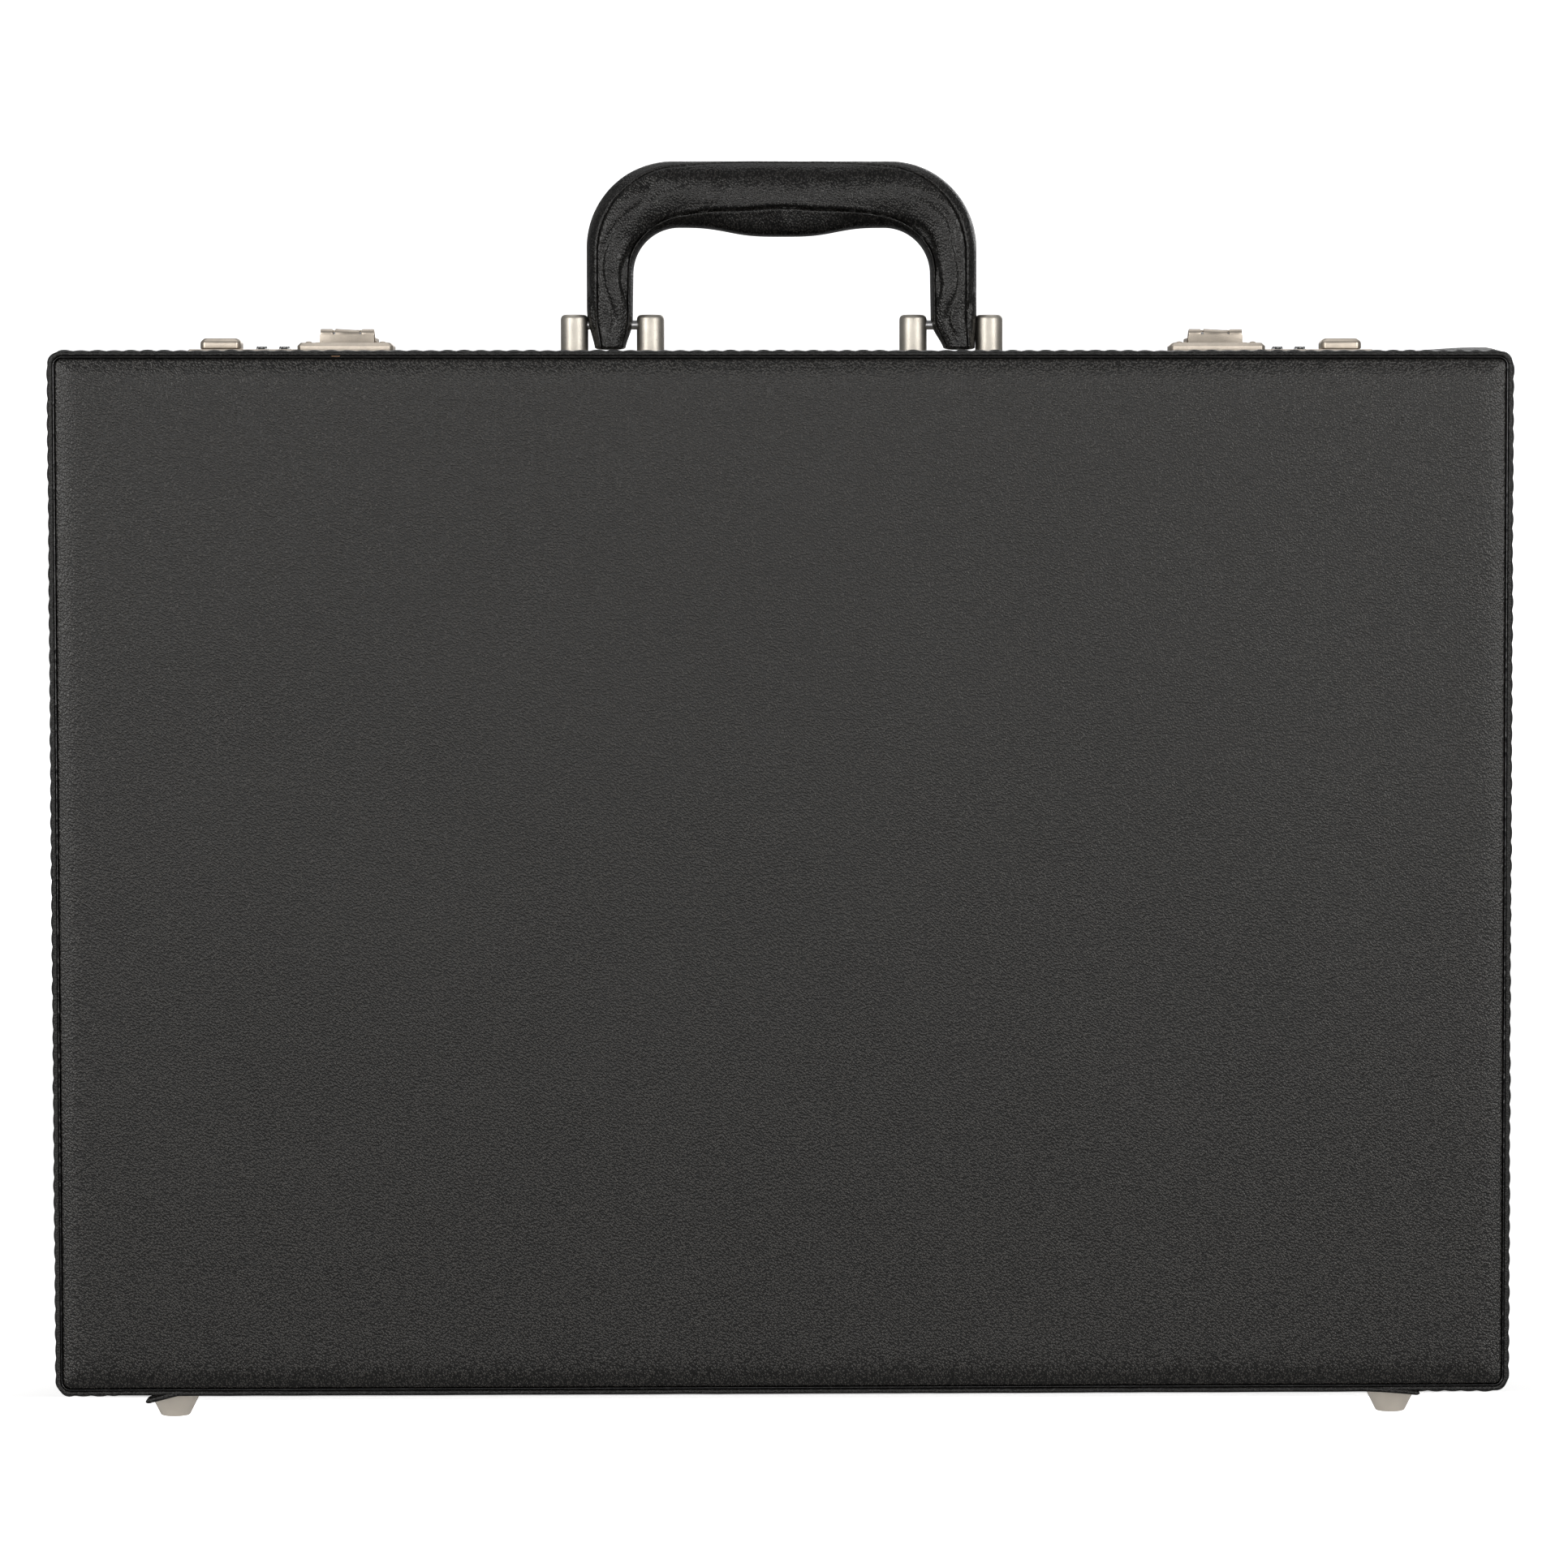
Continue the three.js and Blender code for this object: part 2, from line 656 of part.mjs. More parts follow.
function hingeLeaf(inwards, parity) {
  const near = HINGE.y + inwards * (HINGE.r + 0.4);
  const far = HINGE.y + inwards * HINGE.leaf;
  const [y0, y1] = [near, far].sort((a, b) => a - b);
  const leafBox = box(-HINGE.half, HINGE.half, y0, y1, BOTTOM_Z - HINGE.t, BOTTOM_Z - 0.02);
  const pitch = (2 * HINGE.half) / HINGE.knuckles;
  const knuckles = [];
  for (let i = parity; i < HINGE.knuckles; i += 2) {
    const x0 = -HINGE.half + i * pitch + 0.15;
    const x1 = x0 + pitch - 0.3;
    const [w0, w1] = [HINGE.y, near + inwards].sort((a, b) => a - b);
    knuckles.push(barX(HINGE.r, x0, x1, HINGE.y, HINGE.z, 10));
    knuckles.push(box(x0, x1, w0, w1, BOTTOM_Z - HINGE.t, BOTTOM_Z - 0.15));
  }
  const bore = barX(HINGE_PIN_R + 0.2, -HINGE.half - 1, HINGE.half + 1, HINGE.y, HINGE.z, 8);
  return cut(joined(leafBox, ...knuckles), bore);
}

const hingePin = () => barX(HINGE_PIN_R, -HINGE.half, HINGE.half, HINGE.y, HINGE.z, 8);

// ---- Feet ----
const FOOT_X = 189.5;
const FOOT_Y = 35;
const FOOT_TOP_R = 8.5;
const foot = (x, y) =>
  turned(
    [
      [0, 0],
      [4, 0],
      [4.7, 0.5],
      [FOOT_TOP_R, FOOT_H],
      [0, FOOT_H],
    ],
    x,
    y,
    16,
  );

// ---- Lid stays: two flat arms on each side, pinned together at an elbow ----
// Both mounts and the elbow make a rhombus with the hinge, so each arm stays parallel to the
// opposite shell at every opening of the lid.
const STAY = { r: 120, baseY: 30, lidY: -20, half: 5, t: 1.2, studR: 2.2, play: 0.4 };
const STAY_X = WIDTH / 2 - WALL - GAP - LINING - GAP; // just inside the lining
const MOUNT_IN = STAY_X - 1; // inner face of the mounting plates
const LOWER_IN = MOUNT_IN - GAP - STAY.t; // inner face of the arm on the base
const UPPER_IN = LOWER_IN - GAP - STAY.t; // inner face of the arm on the lid
const onCircle = (dy) => ({ dy, dz: Math.sqrt(STAY.r ** 2 - dy ** 2) });
const toBase = onCircle(STAY.baseY);
const toLid = onCircle(STAY.lidY);
const stayBase = { y: HINGE.y + toBase.dy, z: HINGE.z + toBase.dz };
const stayLid = { y: HINGE.y + toLid.dy, z: HINGE.z + toLid.dz };
const stayElbow = { y: stayBase.y + toLid.dy, z: stayBase.z + toLid.dz };

// A flat bar with round ends, bored round the stud at each of the given points.
function stayArm(side, inner, from, to, bored) {
  const angle = Math.atan2(to.z - from.z, to.y - from.y);
  const quarter = Math.PI / 2;
  const shape = new THREE.Shape();
  shape.absarc(from.y, from.z, STAY.half, angle + quarter, angle - quarter + 2 * Math.PI, false);
  shape.absarc(to.y, to.z, STAY.half, angle - quarter, angle + quarter, false);
  for (const point of bored) {
    const hole = new THREE.Path();
    hole.absarc(point.y, point.z, STAY.studR + STAY.play, 0, 2 * Math.PI, true);
    shape.holes.push(hole);
  }
  return alongX(shape, ...span(side, inner, inner + STAY.t), 6);
}

const stayStud = (side, inner, outer, { y, z }) =>
  barX(STAY.studR, ...span(side, inner, outer), y, z, 12);

const lowerArm = (side) =>
  joined(
    stayArm(side, LOWER_IN, stayBase, stayElbow, [stayBase]),
    stayStud(side, UPPER_IN - 0.4, LOWER_IN + 0.5, stayElbow),
  );

const upperArm = (side) => stayArm(side, UPPER_IN, stayLid, stayElbow, [stayLid, stayElbow]);

function stayMount(side, pivot, studInner) {
  const { y, z } = pivot;
  const plateBox = box(...span(side, MOUNT_IN, STAY_X), y - 7, y + 7, z - 16, z + 9);
  return joined(plateBox, stayStud(side, studInner, MOUNT_IN + 0.5, pivot));
}

// ---- Fittings inside the lid ----
const LID_FLOOR = FRONT_Y + PANEL_BACK + GAP + LINING;
function softPatch(x0, x1, y0, y1, z0, z1, r) {
  const shape = new THREE.Shape();
  shape.moveTo(x0 + r, z0);
  shape.lineTo(x1 - r, z0);
  shape.absarc(x1 - r, z0 + r, r, -Math.PI / 2, 0, false);
  shape.lineTo(x1, z1);
  shape.lineTo(x0, z1);
  shape.lineTo(x0, z0 + r);
  shape.absarc(x0 + r, z0 + r, r, Math.PI, 1.5 * Math.PI, false);
  return alongY(shape, y0, y1, 4);
}
const FILE_POCKET = { half: 200, low: BOTTOM_Z + 16, high: BOTTOM_Z + 236, t: 2.6 };
const PATCH_T = 1.6;
const filePocket = () =>
  softPatch(
    -FILE_POCKET.half,
    FILE_POCKET.half,
    LID_FLOOR,
    LID_FLOOR + FILE_POCKET.t,
    FILE_POCKET.low,
    FILE_POCKET.high,
    8,
  );
const onPocket = (x0, x1, z0, z1) =>
  softPatch(
    x0,
    x1,
    LID_FLOOR + FILE_POCKET.t + 0.1,
    LID_FLOOR + FILE_POCKET.t + 0.1 + PATCH_T,
    z0,
    z1,
    4,
  );

// ---- Assembly ----
add("lid_wall_frame", lid.wall, leatherette);
add("front_panel", lid.panel, leatherette);
add("front_binding", bindingWithGap(lid.binding, FRONT_Y, 1), bindingTape);
add("front_bottom_strip", bottomStrip(FRONT_Y, 1, TAIL_DROP), bindingTape);
add("lid_valance", lidValance(), aluminium);
add("lid_lining", lid.tray, lining);
add("base_wall_frame", cut(base.wall, lockCutout(-1), lockCutout(1)), leatherette);
add("rear_panel", base.panel, leatherette);
add("rear_binding", bindingWithGap(base.binding, BACK_Y, -1), bindingTape);
add("rear_bottom_strip", bottomStrip(BACK_Y, -1, 0.8), bindingTape);
add("base_valance", baseValance(), aluminium);
add("base_lining", cut(base.tray, lockCutout(-1), lockCutout(1)), lining);
add("hinge_leaf_base", hingeLeaf(1, 0), steel);
add("hinge_leaf_lid", hingeLeaf(-1, 1), steel);
add("hinge_pin", hingePin(), steel);
add("handle_grip", handleGrip(), leatherette);
add("handle_core", cut(handleCore(0), ...pivotBores(PIVOT_R + GAP)), steel);
add("file_pocket", filePocket(), leatherette);
add("card_pocket_left", onPocket(-180, -70, BOTTOM_Z + 70, BOTTOM_Z + 150), leatherette);
add("card_pocket_right", onPocket(-50, 60, BOTTOM_Z + 70, BOTTOM_Z + 150), leatherette);
add("pen_holder", onPocket(90, 170, BOTTOM_Z + 110, BOTTOM_Z + 135), leatherette);

for (const [name, side] of SIDES) {
  add(`lock_plate_${name}`, lockPlate(side), nickel);
  add(`lock_housing_${name}`, lockHousing(side), blackPlastic);
  add(`lock_spindle_${name}`, lockSpindle(side), steel);
  DIALS.forEach((x, i) => add(`lock_dial_${name}_${i + 1}`, lockDial(side, x), nickel));
  add(`lock_button_${name}`, lockButton(side), nickel);
  add(`lock_bolt_${name}`, lockBolt(side), steel);
  add(`hasp_carrier_${name}`, haspCarrier(side * HASP_X), nickel);
  add(`hasp_${name}`, hasp(side * HASP_X), nickel);
  add(`hasp_pin_${name}`, haspPin(side * HASP_X), steel);
  add(`handle_bracket_${name}`, handleBracket(side), nickel);
  add(`handle_pin_${name}`, handlePin(side), steel);
  add(`foot_front_${name}`, foot(side * FOOT_X, -FOOT_Y), silverPlastic);
  add(`foot_rear_${name}`, foot(side * FOOT_X, FOOT_Y), silverPlastic);
  add(`stay_mount_base_${name}`, stayMount(side, stayBase, LOWER_IN), steel);
  add(`stay_mount_lid_${name}`, stayMount(side, stayLid, UPPER_IN - 0.4), steel);
  add(`stay_lower_arm_${name}`, lowerArm(side), steel);
  add(`stay_upper_arm_${name}`, upperArm(side), steel);
}

export default attacheCase;
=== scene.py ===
"""Looks for the attache case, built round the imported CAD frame.

Shapes are written in millimetres. The camera, the lights and the stage are in metres."""
import json
import math

import bmesh
import bpy
import numpy as np
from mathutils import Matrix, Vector, noise

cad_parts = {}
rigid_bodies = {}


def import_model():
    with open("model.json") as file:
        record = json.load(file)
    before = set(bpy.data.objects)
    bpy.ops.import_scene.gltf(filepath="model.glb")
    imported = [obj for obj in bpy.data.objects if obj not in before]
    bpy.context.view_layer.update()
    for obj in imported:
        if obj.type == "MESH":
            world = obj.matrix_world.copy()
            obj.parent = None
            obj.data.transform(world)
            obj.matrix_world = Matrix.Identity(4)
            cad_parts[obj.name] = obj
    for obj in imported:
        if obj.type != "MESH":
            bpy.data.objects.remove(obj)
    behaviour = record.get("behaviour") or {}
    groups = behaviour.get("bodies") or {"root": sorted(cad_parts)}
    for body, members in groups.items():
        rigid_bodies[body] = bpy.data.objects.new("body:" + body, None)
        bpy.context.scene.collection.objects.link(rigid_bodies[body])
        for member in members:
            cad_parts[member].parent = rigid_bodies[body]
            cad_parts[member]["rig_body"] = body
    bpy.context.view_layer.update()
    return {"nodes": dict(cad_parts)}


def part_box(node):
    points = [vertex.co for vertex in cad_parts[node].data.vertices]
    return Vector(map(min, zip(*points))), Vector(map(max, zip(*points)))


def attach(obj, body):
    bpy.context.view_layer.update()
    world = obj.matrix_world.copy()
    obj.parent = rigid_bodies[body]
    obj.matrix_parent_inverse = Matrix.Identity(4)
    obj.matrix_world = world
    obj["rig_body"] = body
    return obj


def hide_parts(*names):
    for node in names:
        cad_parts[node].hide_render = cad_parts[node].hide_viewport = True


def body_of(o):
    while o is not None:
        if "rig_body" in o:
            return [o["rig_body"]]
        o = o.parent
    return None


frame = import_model()
scene = bpy.context.scene
MM = 0.001
SIDES = (("left", -1), ("right", 1))

# ---- Driving dimensions, in millimetres, as in the CAD ----
HALF_W = 225.0
BOTTOM_Z = 8.0
TOP_Z = 330.0
MID_Z = (BOTTOM_Z + TOP_Z) / 2
CORNER_R = 4.5
FRONT_Y = -50.0
BACK_Y = 50.0
PARTING_Y = -10.0
PANEL_INSET = 2.05  # from the case's outline in to the panel's edge
PANEL_CORNER_R = 2.6
PANEL_SKIRT = 3.4  # depth of the panel's sides behind the shell's face
STRIP_HALF = 186.0  # the binding ends this far from the middle, under the case
TAIL_X = 197.4  # where the loose ends of the bottom strip stop
PUCKER_PITCH = 5.1  # from one stitch of the binding to the next
LIFT_X = 184.0  # right of here the top covering has lifted
STITCH_DEPTH = 5.0
HANDLE_Y = 12.0
HANDLE_X = 53.5
POST_HALF = 12.0  # from the middle of a handle leg to each of its two posts
POST_R = 4.35
PIVOT_H = 9.5
PIVOT_R = 1.5
PIVOT_HALF = 15.6
DIAL_Y = 2.8
DIAL_Z = TOP_Z - 3.3
DIALS_X = (149.1, 156.2, 163.3)
DIAL_R = 6.0
DIAL_HALF = 1.75  # half the width of a dial
DIGIT_R = 5.885  # the digits lie just proud of the dial's dark band
DIGIT_H = 2.0
HASP_X = 135.4
KNUCKLE_Y = -15.0
KNUCKLE_Z = TOP_Z + 5.9
CURL_INNER_R = 0.85
FOOT_X = 189.5
FOOT_Y = 35.0
HINGE_PIN_R = 0.9
HINGE_PIN_HALF = 203.9
HINGE_PIN_Z = 6.1


# ---- Camera, floor and light ----
def make_camera():
    """A long lens near the middle, level with the upper part of the case and tilted slightly down."""
    data = bpy.data.cameras.new("camera")
    data.lens = 149.15
    data.sensor_width = 36.0
    data.shift_x = -0.0905
    data.shift_y = 0.0620
    data.clip_end = 100.0
    camera = bpy.data.objects.new("camera", data)
    camera.location = (-0.0034, -2.05, 0.29)
    camera.rotation_euler = (math.radians(86.48), math.radians(0.03), math.radians(-1.36))
    scene.collection.objects.link(camera)
    scene.camera = camera


def area_light(name, place, target, width, height, watts, colour=(1, 1, 1)):
    """A soft rectangular lamp at place that points at target."""
    data = bpy.data.lights.new(name, "AREA")
    data.shape = "RECTANGLE"
    data.size = width
    data.size_y = height
    data.energy = watts
    data.color = colour
    light = bpy.data.objects.new(name, data)
    light.location = place
    light.rotation_euler = (Vector(target) - Vector(place)).to_track_quat("-Z", "Y").to_euler()
    scene.collection.objects.link(light)


def lit_white():
    """White that glows, and more so away from the case, where the lights don't reach."""
    s = Shader("floor_white", 0.9, specular=0.0)
    s.bsdf.inputs["Base Color"].default_value = (0.93, 0.93, 0.93, 1)
    s.bsdf.inputs["Emission Color"].default_value = (1, 1, 1, 1)
    away = s.node("ShaderNodeVectorMath", operation="LENGTH")
    s.put(away.inputs[0], s.coords)
    glow = s.node("ShaderNodeMapRange", {"Value": away.outputs["Value"]}, interpolation_type="SMOOTHSTEP")
    for key, value in (("From Min", 0.5), ("From Max", 2.6), ("To Min", 0.6), ("To Max", 1.05)):
        glow.inputs[key].default_value = value
    s.put(s.bsdf.inputs["Emission Strength"], glow.outputs["Result"])
    s.material.cycles.emission_sampling = "NONE"
    return s.material


def make_stage():
    """A white floor inside a white dome. The floor steps down under the case, so that the lid
    has room to swing down. Neither shows in the case's gloss, and the dome sheds no light."""
    reach, edge, step = 11.0, 0.003, 0.068
    profile = ((-reach, -step), (edge - 0.004, -step), (edge, -step + 0.004), (edge, -0.001),
               (edge + 0.001, 0.0), (reach, 0.0))
    verts = [(x, y, z) for y, z in profile for x in (-reach, reach)]
    faces = [(2 * i, 2 * i + 1, 2 * i + 3, 2 * i + 2) for i in range(len(profile) - 1)]
    floor_mesh = bpy.data.meshes.new("floor")
    floor_mesh.from_pydata(verts, [], faces)
    dome_mesh = bpy.data.meshes.new("dome")
    shape = bmesh.new()
    bmesh.ops.create_icosphere(shape, subdivisions=4, radius=16.0)
    bmesh.ops.reverse_faces(shape, faces=shape.faces)
    shape.to_mesh(dome_mesh)
    shape.free()
    white = lit_white()
    for name, mesh in (("floor", floor_mesh), ("dome", dome_mesh)):
        mesh.materials.append(white)
        piece = bpy.data.objects.new(name, mesh)
        scene.collection.objects.link(piece)
        piece.visible_glossy = False
        piece.visible_diffuse = name == "floor"
        piece.visible_shadow = name == "floor"

    world = bpy.data.worlds.new("studio")
    world.use_nodes = True
    world.node_tree.nodes["Background"].inputs["Color"].default_value = (1, 1, 1, 1)
    world.node_tree.nodes["Background"].inputs["Strength"].default_value = 0.22
    scene.world = world
    area_light("top", (0, 0.45, 2.4), (0, 0.1, 0), 2.4, 1.8, 12)
    area_light("front", (0, -2.9, 0.5), (0, 0, 0.25), 2.4, 0.8, 18, (1.0, 0.985, 0.96))
    area_light("left_box", (-1.8, -2.0, 0.75), (-0.1, -0.05, 0.2), 0.9, 1.4, 30, (1.0, 0.985, 0.96))
    area_light("right_box", (1.8, -2.0, 0.75), (0.1, -0.05, 0.2), 0.9, 1.4, 28, (1.0, 0.985, 0.96))
    area_light("back", (0.6, 2.8, 1.1), (0, 0, 0.2), 2.4, 1.2, 20)
    scene.view_settings.view_transform = "Standard"


# ---- Materials ----
class Shader:
    """A Principled material with short ways to add nodes."""

    def __init__(self, name, roughness, metallic=0.0, specular=0.5):
        self.material = bpy.data.materials.new(name)
        self.material.use_nodes = True
        self.tree = self.material.node_tree
        self.bsdf = self.tree.nodes["Principled BSDF"]
        self.bsdf.inputs["Roughness"].default_value = roughness
        self.bsdf.inputs["Metallic"].default_value = metallic
        self.bsdf.inputs["Specular IOR Level"].default_value = specular
        self.coords = self.tree.nodes.new("ShaderNodeTexCoord").outputs["Object"]

    def node(self, kind, inputs=None, **settings):
        """A new node: its settings, then the values or links of its inputs."""
        made = self.tree.nodes.new(kind)
        for key, value in settings.items():
            setattr(made, key, value)
        for key, value in (inputs or {}).items():
            self.put(made.inputs[key], value)
        return made

    def put(self, socket, value):
        """Links an output to the socket, or sets a plain value on it."""
        if isinstance(value, bpy.types.NodeSocket):
            self.tree.links.new(value, socket)
        else:
            socket.default_value = value

    def stretched(self, scale):
        """The object's coordinates, scaled along each axis."""
        made = self.node("ShaderNodeMapping", {"Vector": self.coords})
        made.inputs["Scale"].default_value = scale
        return made.outputs["Vector"]

    def noise(self, size_mm, detail=2.0, rough=0.5, coords=None):
        """Noise whose features are about size_mm across."""
        return self.node(
            "ShaderNodeTexNoise",
            {
                "Vector": coords or self.coords,
                "Scale": 1000.0 / size_mm,
                "Detail": detail,
                "Roughness": rough,
            },
        ).outputs["Fac"]

    def ramp(self, value, stops):
        """Colours between stops of (position, colour)."""
        made = self.node("ShaderNodeValToRGB", {"Fac": value})
        elements = made.color_ramp.elements
        while len(elements) < len(stops):
            elements.new(0.5)
        for element, (position, colour) in zip(elements, stops):
            element.position = position
            element.color = (*colour, 1) if len(colour) == 3 else colour
        return made.outputs["Color"]

    def span(self, value, low, high):
        """A value from 0..1 mapped to low..high."""
        made = self.node("ShaderNodeMapRange", {"Value": value, "To Min": low, "To Max": high})
        return made.outputs["Result"]

    def math(self, kind, a, b):
        made = self.node("ShaderNodeMath", operation=kind)
        self.put(made.inputs[0], a)
        self.put(made.inputs[1], b)
        return made.outputs["Value"]

    def mix(self, fac, a, b):
        """Colour a where fac is 0, and b where it is 1."""
        made = self.node("ShaderNodeMix", data_type="RGBA")
        self.put(made.inputs["Factor"], fac)
        self.put(made.inputs[6], a)
        self.put(made.inputs[7], b)
        return made.outputs[2]

    def bump(self, height, strength, distance_mm):
        made = self.node(
            "ShaderNodeBump",
            {"Height": height, "Strength": strength, "Distance": distance_mm * MM},
        )
        return made.outputs["Normal"]


def grey(value):
    """A neutral grey."""
    return (value, value, value)


def warm_grey(value):
    """A grey that leans a little towards brown."""
    return (value * 1.08, value, value * 0.9)


def leather(name, shade, cell_mm, depth_mm, roughness, turn, glint_gain, gloss=0.4):
    """Embossed leatherette: dark, in slow patches, with small raised pebbles whose tops are painted much
    lighter, a painted highlight standing in for their glints.
    """
    s = Shader(name, roughness, specular=gloss)
    slanted = s.node("ShaderNodeMapping", {"Vector": s.coords}, vector_type="TEXTURE")
    slanted.inputs["Scale"].default_value = (1.2, 1.0, 0.88)
    slanted.inputs["Rotation"].default_value = (0.0, turn, 0.0)
    slant = slanted.outputs["Vector"]
    warp = s.node("ShaderNodeTexNoise", {"Vector": slant, "Scale": 420.0 / cell_mm, "Detail": 1.0})
    shifted = s.node("ShaderNodeVectorMath", operation="MULTIPLY_ADD")
    s.put(shifted.inputs[0], warp.outputs["Color"])
    shifted.inputs[1].default_value = (cell_mm * MM * 0.8,) * 3
    s.put(shifted.inputs[2], slant)
    cells = s.node(
        "ShaderNodeTexVoronoi",
        {"Vector": shifted.outputs[0], "Scale": 1000.0 / cell_mm, "Randomness": 1.0},
        feature="SMOOTH_F1",
    )
    cells.inputs["Smoothness"].default_value = 0.4
    distance = cells.outputs["Distance"]
    pebble = s.ramp(distance, [(0.1, (1, 1, 1)), (0.4, (0.5,) * 3), (0.7, (0, 0, 0))])
    # The pebble tops are painted lighter than the rest: a painted highlight for the glints on the grain.
    painted_glint = s.ramp(distance, [(0.1, (1, 1, 1)), (0.5, (0, 0, 0))])
    fine = s.noise(cell_mm * 0.45, 3.0, 0.6)
    height = s.node("ShaderNodeMath", operation="MULTIPLY_ADD")
    s.put(height.inputs[0], fine)
    height.inputs[1].default_value = 0.14
    s.put(height.inputs[2], pebble)
    patch = s.ramp(
        s.noise(60.0, 3.0, 0.55), [(0.3, warm_grey(shade * 0.8)), (0.7, warm_grey(shade * 1.2))]
    )
    # Painted highlight: the base colour rises many times over on the pebble tops.
    colour = s.mix(painted_glint, patch, (*warm_grey(shade * glint_gain), 1))
    s.put(s.bsdf.inputs["Base Color"], colour)
    s.put(s.bsdf.inputs["Roughness"], s.span(s.noise(7.0, 4.0), roughness - 0.06, roughness + 0.08))
    s.put(s.bsdf.inputs["Normal"], s.bump(height.outputs["Value"], 1.0, depth_mm))
    return s.material


def metal(name, colour, roughness, brush=(1, 1, 1), speck=0.5, scratch=0.0):
    """Plated metal: fine directional brushing, slow tarnish and small dark specks."""
    s = Shader(name, roughness, metallic=1.0)
    streaks = s.noise(0.35, 3.0, 0.6, s.stretched(brush))
    tarnish = s.ramp(s.noise(3.5, 4.0, 0.65), [(0.35, (0, 0, 0)), (0.65, (1, 1, 1))])
    base = s.mix(tarnish, (*[c * 0.86 for c in colour], 1), (*colour, 1))
    spots = s.ramp(s.noise(0.7, 5.0, 0.75), [(0.30, (speck,) * 3), (0.40, (0, 0, 0))])
    s.put(s.bsdf.inputs["Base Color"], s.mix(spots, base, (*[c * 0.4 for c in colour], 1)))
    s.put(s.bsdf.inputs["Roughness"], s.span(streaks, roughness - 0.08, roughness + 0.1))
    s.put(s.bsdf.inputs["Normal"], s.bump(streaks, 0.15 + scratch, 0.05))
    return s.material


def plastic(name, colour, roughness, grain_mm=0.35, bump=0.25):
    """Moulded plastic, enamel or thread: slightly uneven colour over a fine grain."""
    s = Shader(name, roughness)
    fine = s.noise(grain_mm, 3.0, 0.6)
    slow = s.noise(5.0, 3.0)
    s.put(
        s.bsdf.inputs["Base Color"],
        s.mix(slow, (*[c * 0.9 for c in colour], 1), (*[c * 1.08 for c in colour], 1)),
    )
    s.put(s.bsdf.inputs["Roughness"], s.span(fine, roughness - 0.06, roughness + 0.08))
    s.put(s.bsdf.inputs["Normal"], s.bump(fine, bump, 0.06))
    return s.material


def cloth(name, colour, thread_mm):
    """A plain weave lining with a soft nap."""
    s = Shader(name, 0.9, specular=0.25)
    s.bsdf.inputs["Sheen Weight"].default_value = 0.25
    waves = []
    for direction in ("X", "Z"):
        waves.append(
            s.node(
                "ShaderNodeTexWave",
                {"Vector": s.coords, "Scale": 1000.0 / (thread_mm * 20.0), "Distortion": 0.6},
                bands_direction=direction,
            ).outputs["Fac"]
        )
    weave = s.math("MULTIPLY", waves[0], waves[1])
    nap = s.noise(0.9, 3.0, 0.7)
    s.put(
        s.bsdf.inputs["Base Color"],
        s.mix(nap, (*[c * 0.72 for c in colour], 1), (*[c * 1.3 for c in colour], 1)),
    )
    s.put(s.bsdf.inputs["Normal"], s.bump(s.math("ADD", weave, nap), 0.5, 0.12))
    return s.material


def make_materials():
    """Every material by the short name that the pieces use."""
    return {
        # In each leatherette, the number after turn sets how many times lighter its pebble tops are
        # painted: a painted highlight.
        "panel": leather("panel_leatherette", 0.0027, 0.56, 0.085, 0.30, turn=1.0, glint_gain=12),
        "wall": leather("wall_leatherette", 0.0020, 0.65, 0.14, 0.44, turn=0.2, glint_gain=8, gloss=0.3),
        "grip": leather("grip_leatherette", 0.0016, 0.6, 0.10, 0.30, turn=1.2, glint_gain=13, gloss=0.38),
        "binding": leather("binding_leatherette", 0.002, 0.55, 0.1, 0.38, turn=0.0, glint_gain=6),
        "pocket": leather("pocket_leatherette", 0.011, 0.9, 0.14, 0.40, turn=0.3, glint_gain=4),
        "welt": plastic("welt_vinyl", grey(0.003), 0.12, 0.5, 0.9),
        "thread": plastic("sewing_thread", grey(0.008), 0.45, 0.12, 0.6),
        "pocket_thread": plastic("pocket_thread", grey(0.10), 0.5, 0.12, 0.6),
        "nickel": metal("satin_nickel", (0.63, 0.56, 0.48), 0.4, (1, 6, 1)),
        "post_nickel": metal("worn_nickel", (0.60, 0.565, 0.505), 0.44, (4, 4, 1), 0.85, 0.15),
        "chrome": metal("dial_chrome", (0.5, 0.5, 0.5), 0.18, (1, 1, 1), 0.1),
        "steel": metal("plain_steel", (0.52, 0.52, 0.53), 0.33, (1, 8, 8), 0.3),
        "aluminium": metal("satin_aluminium", (0.66, 0.66, 0.67), 0.34, (1, 1, 1), 0.1),
        "foot": plastic("foot_plastic", (0.29, 0.262, 0.225), 0.5),
        "black": plastic("black_plastic", grey(0.008), 0.45),
        "enamel": plastic("dial_enamel", grey(0.006), 0.3, 0.3, 0.15),
        "ink": plastic("digit_ink", (0.7, 0.7, 0.68), 0.5, 0.2, 0.1),
        "lining": cloth("lining_cloth", (0.062, 0.064, 0.071), 0.5),
        "fleck": plastic("bare_board", (0.60, 0.33, 0.18), 0.6),
    }


# ---- Mesh helpers ----
def add_piece(name, verts, faces, body, material, replaces=(), sharp_deg=None):
    """A piece from vertices in millimetres. It rides on its body; faces end up facing out."""
    mesh = bpy.data.meshes.new(name)
    mesh.from_pydata((np.asarray(verts, float) * MM).tolist(), [], faces)
    return finish_piece(name, mesh, body, material, replaces, sharp_deg)


